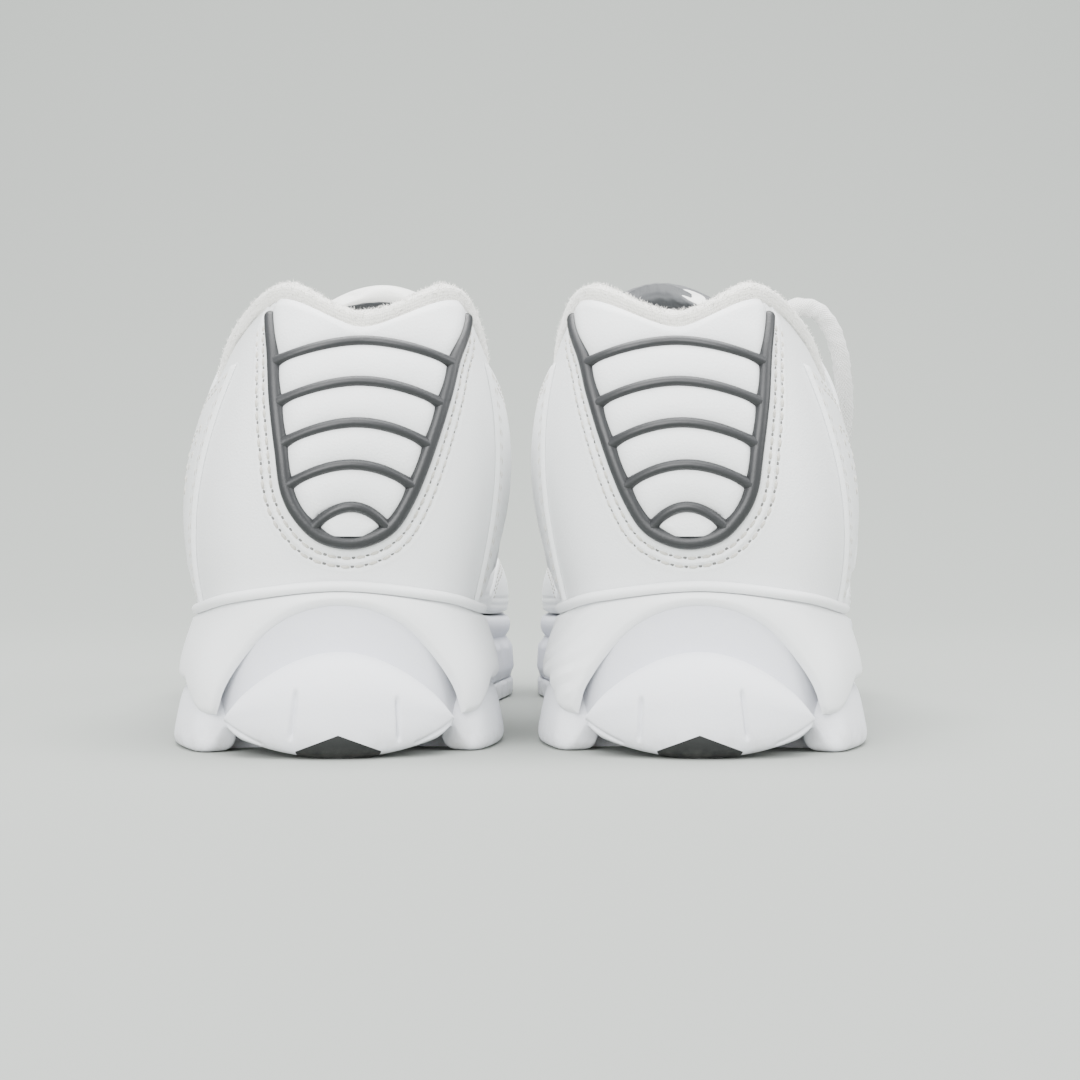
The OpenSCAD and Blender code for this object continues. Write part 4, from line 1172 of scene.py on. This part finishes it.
def patch(turn, rear, u_to, low, high, lift, relief=None, roll=1.6, sink=0.9):
    """A panel laid on the upper from its rear edge forwards, with rolled edges."""
    def place(s, t):
        w = mix(rear(t), u_to, s if turn > 0 else 1 - s)
        v = mix(low(w), high(w), t)
        u = turn * w
        du, dv = per_mm(u, np.clip(v, 0.02, 0.98))
        wide = np.minimum(s, 1 - s) * (u_to - rear(t)) / du
        tall = np.minimum(t, 1 - t) * np.abs(high(w) - low(w)) / dv
        edge = np.clip(np.minimum(wide, tall) / roll, 0, 1)
        off = lift - sink * (1 - np.sqrt(1 - (1 - edge) ** 2))
        if relief:
            off = off + relief(w, v, np.minimum(wide, tall))
        return layer(u, v, off)
    return place


def panel_low(w):
    return 0.015 + 0 * w


def panel_high(w):
    return np.interp(w, [2.3, 2.8, 3.4, 4.2, 5.2, 6.6], [0.84, 0.80, 0.74, 0.70, 0.64, 0.55])


BARS = [(3.15, 0.20, 4.35, 0.60), (3.75, 0.17, 4.95, 0.56), (4.35, 0.15, 5.50, 0.50)]
TRIANGLE = [(1.92, 0.67), (2.42, 0.66), (2.30, 0.45)]


def bar_share(w, v):
    """1 along the middle of each slanted bar, 0 away from it, and its stitched channel."""
    swell, channel = np.zeros_like(w), np.zeros_like(w)
    for w0, v0, w1, v1 in BARS:
        f = np.clip((v - v0) / (v1 - v0), 0, 1)
        line = w0 + (w1 - w0) * f ** 1.25
        gap = np.abs(w - line) / (0.26 * (1 - 0.45 * f))
        ends = smooth_step((v - v0) / 0.05 + 1) * smooth_step((v1 - v) / 0.06 + 1)
        swell = np.maximum(swell, np.sqrt(np.clip(1 - gap ** 2, 0, 1)) * ends)
        channel = np.maximum(channel, np.exp(-((gap - 1.12) / 0.12) ** 2) * ends)
    return swell, channel


def panel_relief(w, v, edge):
    swell, channel = bar_share(w, v)
    rows = np.exp(-((edge - 2.0) / 0.4) ** 2) + np.exp(-((edge - 3.9) / 0.4) ** 2)
    return 0.9 * swell - 0.35 * channel - 0.25 * rows


def eyestay_low(w):
    return 0.66 + 0.015 * np.sin(3 * w)


def eyestay_relief(w, v, edge):
    return -0.25 * np.exp(-((edge - 2.0) / 0.4) ** 2)


def level_line(w_from, w_to, edge_of, turn, away, lift, count=160):
    """A sewn row beside a panel's edge, as points and normals."""
    w = np.linspace(w_from, w_to, count)
    v = edge_of(w)
    u = turn * w
    u2, v2 = beside(u, v, away * turn)
    return row_on(u2, np.clip(v2, 0, 1), lift)


def upright_line(w_at, v_from, v_to, turn, away, lift, count=80):
    """A sewn row up the leather beside a station, which may change with the level."""
    v = np.linspace(v_from, v_to, count)
    u = turn * (w_at(v / v_to) if callable(w_at) else np.full_like(v, w_at))
    du, _ = per_mm(u, v)
    return row_on(u + turn * away * du, v, lift)


for side in SIDES:
    for turn, word in ((1, "lateral"), (-1, "medial")):
        quarter = grid_piece(f"{side}_quarter_{word}", side, 110, 40, quarter_place_for(turn),
                             wall=1.3)
        goes_with(quarter, side, "shoe", white_leather, [f"quarter_{word}"],
                  bends=True)
        panel = grid_piece(f"{side}_side_panel_{word}", side, 190, 70,
                           patch(turn, panel_rear, PANEL_TO, panel_low, panel_high, OVER,
                                 panel_relief), wall=1.0)
        goes_with(panel, side, "shoe", overlay_leather, bends=True)
        stay = grid_piece(f"{side}_eyestay_{word}", side, 150, 34,
                          patch(turn, lambda t: 4.0 + 0 * t, 6.62, eyestay_low,
                                lambda w: 1.0 + 0 * w, 2.0, eyestay_relief, roll=1.4),
                          wall=1.4)
        goes_with(stay, side, "shoe", overlay_leather,
                  ["eyestay"] if turn > 0 else [], bends=True)
        rows = []
        for away in (2.0, 3.9):
            rows.append(upright_line(panel_rear, 0.04, 0.82, turn, away, OVER - 0.25))
            rows.append(level_line(1.75, 6.4, panel_high, turn, -away, OVER - 0.25))
        rows.append(level_line(4.1, 6.5, eyestay_low, turn, 2.0, 1.75))
        rows.append(level_line(4.1, 6.5, lambda w: 1.0 + 0 * w, turn, -2.2, 1.75))
        for w0, v0, w1, v1 in BARS:
            for gap in (-1, 1):
                f = np.linspace(0.06, 0.94, 60)
                w = w0 + (w1 - w0) * f ** 1.25 + gap * 0.29 * (1 - 0.45 * f)
                rows.append(row_on(turn * w, mix(v0, v1, f), OVER - 0.3))
        if turn > 0:
            for (w0, v0), (w1, v1) in zip(TRIANGLE, TRIANGLE[1:] + TRIANGLE[:1]):
                f = np.linspace(0, 1, 20)
                rows.append(row_on(mix(w0, w1, f), mix(v0, v1, f), OVER - 0.1))
        stitching(f"{side}_{word}_panel", side, rows, bends=True)

# --- Vamp and toe -----------------------------------------------------------------------------
# Soft leather from the throat over the toes, with punched air holes and shallow flex creases
# across it. A stiffer toe cap and a guard low round the front are sewn over it.


def vamp_place(s, t):
    u = mix(THROAT - 0.02, 2 * TOE - THROAT + 0.02, s)
    p = layer(u, t)
    w = np.abs(around(u))
    crease = smooth_step((w - 7.1) / 0.2) * smooth_step((8.3 - w) / 0.3) * smooth_step(
        (t - 0.35) / 0.3)
    wave = np.sin(p[:, 1] * 0.9 + 0.35 * np.sin(p[:, 0] * 0.22) * 3)
    return layer(u, t, 0.16 * crease * wave)


CAP_FROM = 8.5
GUARD_FROM = 5.6


def over_toe(start, low, high, lift, relief=None, roll=1.6, sink=1.0, closed_top=False):
    """A panel that wraps right round the toe from one side to the other."""
    def place(s, t):
        u = mix(start, 2 * TOE - start, s)
        w = np.abs(around(u))
        v = mix(low(w), high(w), t)
        du, dv = per_mm(u, np.clip(v, 0.02, 0.98))
        wide = np.minimum(s, 1 - s) * 2 * (TOE - start) / du
        tall = np.where(closed_top, t, np.minimum(t, 1 - t)) * (high(w) - low(w)) / dv
        edge = np.clip(np.minimum(wide, tall) / roll, 0, 1)
        off = lift - sink * (1 - np.sqrt(1 - (1 - edge) ** 2))
        if relief:
            off = off + relief(w, v, np.minimum(wide, tall))
        return layer(u, v, off)
    return place


def sewn_edge(w, v, edge):
    return -0.25 * (np.exp(-((edge - 2.0) / 0.4) ** 2) + np.exp(-((edge - 3.9) / 0.4) ** 2))


def guard_high(w):
    return np.interp(w, [5.5, 6.2, 7.0, 8.0, 9.0, 10], [0.06, 0.22, 0.34, 0.38, 0.40, 0.42])


# The punched air holes are dark dots: painted shade where each hole opens into the shoe.
air_hole_shade, sh, nodes, links = new_material("air_hole_shade", (0.03, 0.03, 0.03), 0.95)
at = nodes.new("ShaderNodeTexCoord").outputs["Object"]
links.new(two_tone(nodes, links, noise_node(nodes, links, at, 900.0), (0.06, 0.06, 0.06),
                   (0.02, 0.02, 0.02)), sh.inputs["Base Color"])

for side in SIDES:
    vamp = grid_piece(f"{side}_vamp", side, 170, 70, vamp_place, wall=1.3)
    goes_with(vamp, side, "shoe", white_leather, ["vamp_crease", "vamp_front"],
              bends=True)
    cap = grid_piece(f"{side}_toe_cap", side, 140, 70,
                     over_toe(CAP_FROM, lambda w: 0.30 + 0 * w, lambda w: 1.0 + 0 * w, 0.9,
                              sewn_edge, closed_top=True), wall=0.9)
    goes_with(cap, side, "shoe", overlay_leather, ["toe_cap"], bends=True)
    guard = grid_piece(f"{side}_toe_guard", side, 220, 40,
                       over_toe(GUARD_FROM, lambda w: 0.01 + 0 * w, guard_high, 1.7, sewn_edge),
                       wall=1.5)
    goes_with(guard, side, "shoe", overlay_leather, bends=True)
    rows = []
    for away in (2.0, 3.9):
        for turn in (1, -1):
            rows.append(upright_line(CAP_FROM, 0.46, 0.985, turn, away, 0.65))
        u = np.linspace(GUARD_FROM + 0.2, 2 * TOE - GUARD_FROM - 0.2, 400)
        v = guard_high(np.abs(around(u)))
        _, dv = per_mm(u, v)
        rows.append(row_on(u, v - away * dv, 1.45))
    stitching(f"{side}_toe", side, rows, bends=True)
    hole_u, hole_v = [], []
    for w in np.linspace(7.45, 8.3, 5):
        for v in np.linspace(0.70, 0.99, 5):
            for turn in (1, -1):
                hole_u.append(turn * w)
                hole_v.append(v - 0.03 * (round(w * 10) % 2))
    hole_at, hole_up = row_on(np.array(hole_u), np.array(hole_v), 0.02)
    holes = dots(f"{side}_air_holes", side, hole_at, np.tile([0.0, 1.0, 0.0], (len(hole_at), 1)),
                 hole_up, (0.75, 0.75, 0.12))
    goes_with(holes, side, "shoe", air_hole_shade, bends=True)

# --- Collar -----------------------------------------------------------------------------------
# A foam band covered in cream terry towelling: glued up the inside, rolled over the leather's
# top edge and tucked down outside, with the terry's loops standing up as a soft pile.

COLLAR_END = 3.6
# The terry's second colour is painted shade between its loops.
terry = cloth_material("terry", (0.93, 0.92, 0.87), (0.80, 0.78, 0.72), 0.8, 0.95, 0.35, 0.8)
COLLAR_BACK = LINER_IN - 0.3


def collar_profile(u):
    """Eighteen points round the collar's section at each station: over it, then under it."""
    pad = 6.0 * np.cos(np.radians(80 * np.abs(u / COLLAR_END) ** 3))
    one = np.ones_like(u)
    back = COLLAR_BACK * one

    def rim(off, up):
        return layer(u, one, off * one) + [0, 0, up]

    over = [layer(u, 4 / 6 * one, back - 0.6), layer(u, 4.6 / 6 * one, back - 0.7 * pad),
            layer(u, 5.3 / 6 * one, back - pad), rim(back - 0.8 * pad, 0.3),
            rim(back - 0.4 * pad, 3.6), rim(back / 2, 5), rim(-1, 4.6), rim(0.9, 2.7),
            rim(0.55, 0.2)]
    under = [layer(u, 3.9 / 6 * one, back), layer(u, 4.6 / 6 * one, back),
             layer(u, 5.3 / 6 * one, back), rim(back, 0), rim(back, 0.4), rim(back * 0.7, 0.35),
             rim(back * 0.45, 0.35), rim(back * 0.25, 0.35), rim(-0.4, 0.1)]
    return np.stack(over + under[::-1], 1)


def collar_point(s, t):
    stations, back = np.unique(s, return_inverse=True)
    loops = collar_profile(COLLAR_END * (2 * stations - 1))[back]
    count = loops.shape[1]
    k = t * count
    i = np.floor(k).astype(int)
    f = (k - i)[:, None]
    row = np.arange(len(s))
    a, b, c, d = (loops[row, (i + j) % count] for j in (-1, 0, 1, 2))
    p = 0.5 * (2 * b + (c - a) * f + (2 * a - 5 * b + 4 * c - d) * f ** 2
               + (3 * b - a - 3 * c + d) * f ** 3)
    return p, unit(p - loops.mean(1))


def collar_place(s, t):
    # The rows run over the roll from outside to inside, so that the faces point outwards.
    p, out = collar_point(s, 1 - t)
    x, y, z = p.T
    pile = (np.sin(x * 4.1 + 1.7 * np.sin(z * 3.3)) * np.sin(y * 3.7 + 2.1 * np.sin(x * 2.9))
            + 0.6 * np.sin(z * 6.1 + x * 5.3) + 0.7 * np.sin(x * 1.1 + z * 1.9 + y * 0.7))
    return p + out * (0.13 * pile)[:, None]


for side in SIDES:
    collar = grid_piece(f"{side}_collar", side, 330, 84, collar_place, uv_mm=(240, 60))
    goes_with(collar, side, "shoe", terry, ["collar"])
    rng = np.random.default_rng(7 if side == "left" else 8)
    s, t = rng.uniform(0.02, 0.98, 5200), rng.uniform(0.10, 0.50, 5200)
    root, out = collar_point(s, t)
    pile = fibres(f"{side}_collar_pile", side, root, out, 0.75, 0.16, 0.6, 11)
    goes_with(pile, side, "shoe", terry)

# --- Tongue -----------------------------------------------------------------------------------
# A padded leather tongue under the laces. Its top folds free above the top eyelets, and is
# faced with dark grey satin on the side towards the ankle.

TONGUE_OUT = LINER_IN - 0.6
TONGUE_T = 5.5
TONGUE_RAISE = 2.2
TONGUE_ROOT = np.array([-0.676, 96.401, 93.605])
TONGUE_DIR = np.array([0, -0.7, 0.714])
TONGUE_FRONT = np.array([0, 0.714, 0.7])
TONGUE_ROWS = [[-3.5, 19.5], [1.6, 19.4], [6, 19.2], [11, 18.4], [16, 16.6], [19.6, 13.8],
               [21.6, 10.6], [22.6, 7.4]]
TONGUE_TIP = 22.6
TONGUE_SEAM = 18.2
TONGUE_LEAN = -8.0


def tongue_row(w, off):
    one = np.ones_like(w)
    a, b = layer(w, one, off * one), layer(-w, one, off * one)
    cross = [mix(a, b, f) + [0, 0, TONGUE_RAISE * (1 - (2 * f - 1) ** 2)]
             for f in np.linspace(0, 1, 5)]
    return np.stack([layer(w, 5 / 6 * one, off * one)] + cross
                    + [layer(-w, 5 / 6 * one, off * one)], 1)


def round_section(t, q_round):
    """Across share and depth share of a flat padded section, t running round it."""
    angle = 2 * math.pi * t
    c, d = np.cos(angle), np.sin(angle)
    across = np.sign(c) * (1 - (1 - np.abs(c)) ** 1.6)
    depth = np.sign(d) * np.abs(d) ** q_round
    return across, depth


def tongue_base_place(s, t):
    w = mix(6.5, 4.0, s)
    stations, back = np.unique(w, return_inverse=True)
    outer = tongue_row(stations, TONGUE_OUT)[back]
    inner = tongue_row(stations, TONGUE_OUT - TONGUE_T)[back]
    across, depth = round_section(t, 0.35)
    k = (1 - across) / 2 * 6
    i = np.clip(np.floor(k).astype(int), 0, 5)
    f = (k - i)[:, None]
    row = np.arange(len(s))

    def on(table):
        return mix(table[row, i], table[row, i + 1], f)

    close = np.sqrt(np.clip(1 - (1 - np.clip(np.minimum(s, 1 - s) / 0.03, 0, 1)) ** 2, 0, 1))
    share = 0.5 - 0.5 * depth * close
    p = mix(on(outer), on(inner), share[:, None])
    quilt = 0.35 * np.abs(np.sin(s * math.pi * 7)) ** 0.5 * (depth > 0)
    p[:, 2] += quilt * close
    return p


def tongue_top_point(along, across, off):
    """along runs from the fold up to the tip in mm; across from -1 to 1; off from the front."""
    half = np.interp(along, [r[0] for r in TONGUE_ROWS], [r[1] for r in TONGUE_ROWS])
    x = half * across
    drop = 2.2 * across ** 2 * smooth_step((along - 9) / 6)
    lean = TONGUE_LEAN * np.maximum(along, 0) / 20
    p = (TONGUE_ROOT + TONGUE_DIR * (along - drop)[:, None]
         + TONGUE_FRONT * (off - 4 * (x / 17.5) ** 2)[:, None])
    p[:, 0] += x + lean
    return p


def tip_round(along):
    return np.sqrt(np.clip(1 - (1 - np.clip((TONGUE_TIP - along) / 2.6, 0, 1)) ** 2, 0, 1))


def tongue_top_place(s, t):
    along = mix(TONGUE_ROWS[0][0], TONGUE_TIP, 1 - (1 - s) ** 1.3)
    across, depth = round_section(t, 0.4)
    end = tip_round(along)
    start = np.sqrt(np.clip(1 - (1 - np.clip(s / 0.06, 0, 1)) ** 2, 0, 1))
    thick = TONGUE_T * end * start
    seam = 0.35 * np.exp(-((along - TONGUE_SEAM) / 0.5) ** 2) * (depth > 0)
    return tongue_top_point(along, across, -TONGUE_T / 2 + depth * thick / 2 - seam)


def satin_place_for(side):
    """The facing on the tongue's rear: to the rim on the right shoe, short of it on the left."""
    margin, high, lift = ((-0.6, TONGUE_TIP + 0.5, 0.95) if side == "right"
                          else (2.6, TONGUE_TIP - 2.3, 0.3))

    def place(s, t):
        over_rim = np.clip((t - 0.85) / 0.15, 0, 1) * (side == "right")
        along = mix(-3.0, high, np.clip(t / 0.85, 0, 1)) - 2.4 * over_rim
        face = np.where(over_rim > 0, -1.0, 1.0)
        half = np.interp(along, [r[0] for r in TONGUE_ROWS], [r[1] for r in TONGUE_ROWS])
        across = (1 - 2 * s) * (1 - margin / half)
        c = 1 - np.maximum(1 - np.abs(across), 0) ** (1 / 1.6)
        depth = np.sqrt(np.clip(1 - c ** 2, 0, 1)) ** 0.4
        pucker = 0.12 * np.sin(across * 21 + along * 0.6) * np.maximum(1 - np.abs(across), 0)
        return tongue_top_point(along, across * 1.012, -TONGUE_T / 2
                                - face * (TONGUE_T / 2 * tip_round(along) * depth + lift)
                                - pucker)
    return place


satin, sh, nodes, links = new_material("satin", (0.075, 0.082, 0.09), 0.38)
sh.inputs["Sheen Weight"].default_value = 0.4
sh.inputs["Anisotropic"].default_value = 0.4
weave = nodes.new("ShaderNodeTexWave")
weave.inputs["Scale"].default_value = 900
weave.inputs["Distortion"].default_value = 1.5
at = nodes.new("ShaderNodeTexCoord").outputs["Object"]
links.new(at, weave.inputs["Vector"])
links.new(two_tone(nodes, links, noise_node(nodes, links, at, 120.0, 4.0), (0.050, 0.055, 0.060),
                   (0.026, 0.029, 0.032)), sh.inputs["Base Color"])
bump_to(sh, nodes, links, weave.outputs["Fac"], 0.08, 0.4)

for side in SIDES:
    base = grid_piece(f"{side}_tongue_base", side, 140, 96, tongue_base_place)
    goes_with(base, side, "shoe", white_leather, ["tongue_base"])
    top = grid_piece(f"{side}_tongue_top", side, 90, 96, tongue_top_place)
    goes_with(top, side, "tongue", rim_leather, ["tongue_top"])
    facing = grid_piece(f"{side}_tongue_facing", side, 80, 60, satin_place_for(side), wall=-0.4)
    goes_with(facing, side, "tongue", satin)
    across = np.linspace(-0.8, 0.8, 60)
    line = tongue_top_point(np.full(60, TONGUE_SEAM), across, np.full(60, -0.35))
    stitching(f"{side}_tongue", side, [(line, np.tile(TONGUE_FRONT, (60, 1)))], part="tongue")

# --- Eyelets and lacing -------------------------------------------------------------------------
# Six pressed eyelets up each eyestay, with the lace crossing from side to side under the edges,
# a straight bar at the bottom, and a soft knot at the top that the bow's loops come out of.

EYELETS = 6
EYELET_V = 5.5 / 6
EYELET_FROM, EYELET_TO = 4.3, 6.25
LACE_UNDER = LINER_IN - 1.2
LACE_OVER = 4.4
KNOT = np.array([-0.55, 106.12, 98.87])

eyelet_enamel, sh, nodes, links = new_material("eyelet_enamel", (0.80, 0.80, 0.79), 0.35)
at = nodes.new("ShaderNodeTexCoord").outputs["Object"]
rubbed = noise_node(nodes, links, at, 500.0, 4.0, 0.6)
links.new(two_tone(nodes, links, rubbed, (0.84, 0.84, 0.83), (0.68, 0.68, 0.67)),
          sh.inputs["Base Color"])
bump_to(sh, nodes, links, rubbed, 0.05, 0.4)


def eyelet_w(k):
    return mix(EYELET_FROM, EYELET_TO, (EYELETS - 1 - k) / (EYELETS - 1))


def one_on(u, v, off):
    return layer(np.array([u]), np.array([float(v)]), np.array([float(off)]))[0]


def crest(w, up):
    return (one_on(w, 1, TONGUE_OUT) + one_on(-w, 1, TONGUE_OUT)) / 2 + [0, 0, TONGUE_RAISE + up]


def lace_leg(turn, k):
    here, there = turn * eyelet_w(k), -turn * eyelet_w(k + 1)
    up = 6.4 if turn > 0 else 2.6
    return [one_on(here, EYELET_V, LACE_UNDER), one_on(here, EYELET_V, LACE_OVER),
            one_on(here, 1, LACE_OVER + 0.6), crest((abs(here) + abs(there)) / 2, up + 1),
            one_on(there, 1, LACE_UNDER)]


def lace_half(turn):
    points = []
    for k in range(EYELETS - 1):
        points += lace_leg(turn if k % 2 == 0 else -turn, k)
    w = -turn * EYELET_FROM
    points += [one_on(w, EYELET_V, LACE_UNDER), one_on(w, EYELET_V, LACE_OVER),
               mix(one_on(w, 1, LACE_OVER + 1.6), KNOT, 0.75)]
    return points


for side in SIDES:
    node_material(f"{side}_eyelets", eyelet_enamel)
    route = np.array(lace_half(-1)[::-1] + [crest(EYELET_TO, -0.4)] + lace_half(1))
    lacing = tube_piece(f"{side}_lacing", side, smoothed(route, 10), 5.0, 2.4, around=16,
                        first=(0.2, -0.4, 0.9), ends=0.8, relief=soft_twist)
    goes_with(lacing, side, "shoe", lace_cotton, ["lace"])
    turn = np.linspace(-0.3, 2 * math.pi + 0.5, 60)
    wrap_line = np.stack([1.1 * np.sin(turn / 2.2), 3.6 * np.cos(turn), 3.4 * np.sin(turn)], 1)
    wrap = tube_piece(f"{side}_knot_wrap", side, KNOT + [0, 0, 0.6] + wrap_line, 5.4, 2.6,
                      around=18, first=(0, 1, 0), ends=1.0, relief=soft_twist)
    goes_with(wrap, side, "shoe", lace_cotton, ["lace_knot"])
    core_line = KNOT + np.stack([np.linspace(-6.0, 6.0, 40), 0 * np.linspace(0, 1, 40),
                                 0.8 * np.cos(np.linspace(-1.5, 1.5, 40))], 1)
    core = tube_piece(f"{side}_knot_core", side, core_line, 6.4, 5.4, around=18, first=(0, 0, 1),
                      ends=2.4, relief=soft_twist)
    goes_with(core, side, "shoe", lace_cotton)

# --- Floor and light ------------------------------------------------------------------------
# A pale grey paper sweep and soft studio light from above, with a fill from the front.

sweep_bm = bmesh.new()
bmesh.ops.create_grid(sweep_bm, x_segments=8, y_segments=80, size=0.5)
SWEEP_WIDE, SWEEP_FRONT, SWEEP_BEND, SWEEP_R = 14.0, -4.0, 0.6, 2.2
for vert in sweep_bm.verts:
    run = SWEEP_FRONT + (vert.co.y + 0.5) * 9.0
    over = max(run - SWEEP_BEND, 0)
    angle = min(over / SWEEP_R, math.pi / 2)
    vert.co = (vert.co.x * SWEEP_WIDE, min(run, SWEEP_BEND) + SWEEP_R * math.sin(angle),
               SWEEP_R * (1 - math.cos(angle)) + max(over - SWEEP_R * math.pi / 2, 0))
sweep_mesh = bpy.data.meshes.new("sweep")
sweep_bm.to_mesh(sweep_mesh)
sweep_bm.free()
sweep_mesh.shade_smooth()
sweep = bpy.data.objects.new("sweep", sweep_mesh)
bpy.context.scene.collection.objects.link(sweep)
paper, sh, nodes, links = new_material("paper", (0.30, 0.315, 0.295), 0.8)
at = nodes.new("ShaderNodeTexCoord").outputs["Object"]
links.new(two_tone(nodes, links, noise_node(nodes, links, at, 1.4, 3.0), (0.305, 0.322, 0.300),
                   (0.295, 0.310, 0.290)), sh.inputs["Base Color"])
sweep_mesh.materials.append(paper)


def softbox(name, at, look, size, watts):
    lamp = bpy.data.lights.new(name, "AREA")
    lamp.shape = "SQUARE"
    lamp.size = size
    lamp.energy = watts
    box = bpy.data.objects.new(name, lamp)
    box.location = at
    way = np.array(look, float) - np.array(at, float)
    flat = math.hypot(way[0], way[1])
    box.rotation_euler = (math.atan2(flat, -way[2]), 0,
                          math.atan2(way[1], way[0]) - math.pi / 2 if flat > 1e-6 else 0)
    bpy.context.scene.collection.objects.link(box)


softbox("overhead", (0.0, -0.15, 1.5), (0, 0, 0), 1.5, 54)
softbox("backdrop", (0.0, 0.5, 2.2), (0, 2.6, 0.5), 1.5, 70)
softbox("fill", (-0.6, -2.2, 1.0), (0, 0, 0.05), 1.6, 88)
softbox("side", (1.6, -0.6, 0.9), (0, 0, 0.05), 1.0, 20)
world = bpy.data.worlds.new("studio")
world.use_nodes = True
world.node_tree.nodes["Background"].inputs["Color"].default_value = (0.82, 0.84, 0.86, 1)
world.node_tree.nodes["Background"].inputs["Strength"].default_value = 1.7
bpy.context.scene.world = world
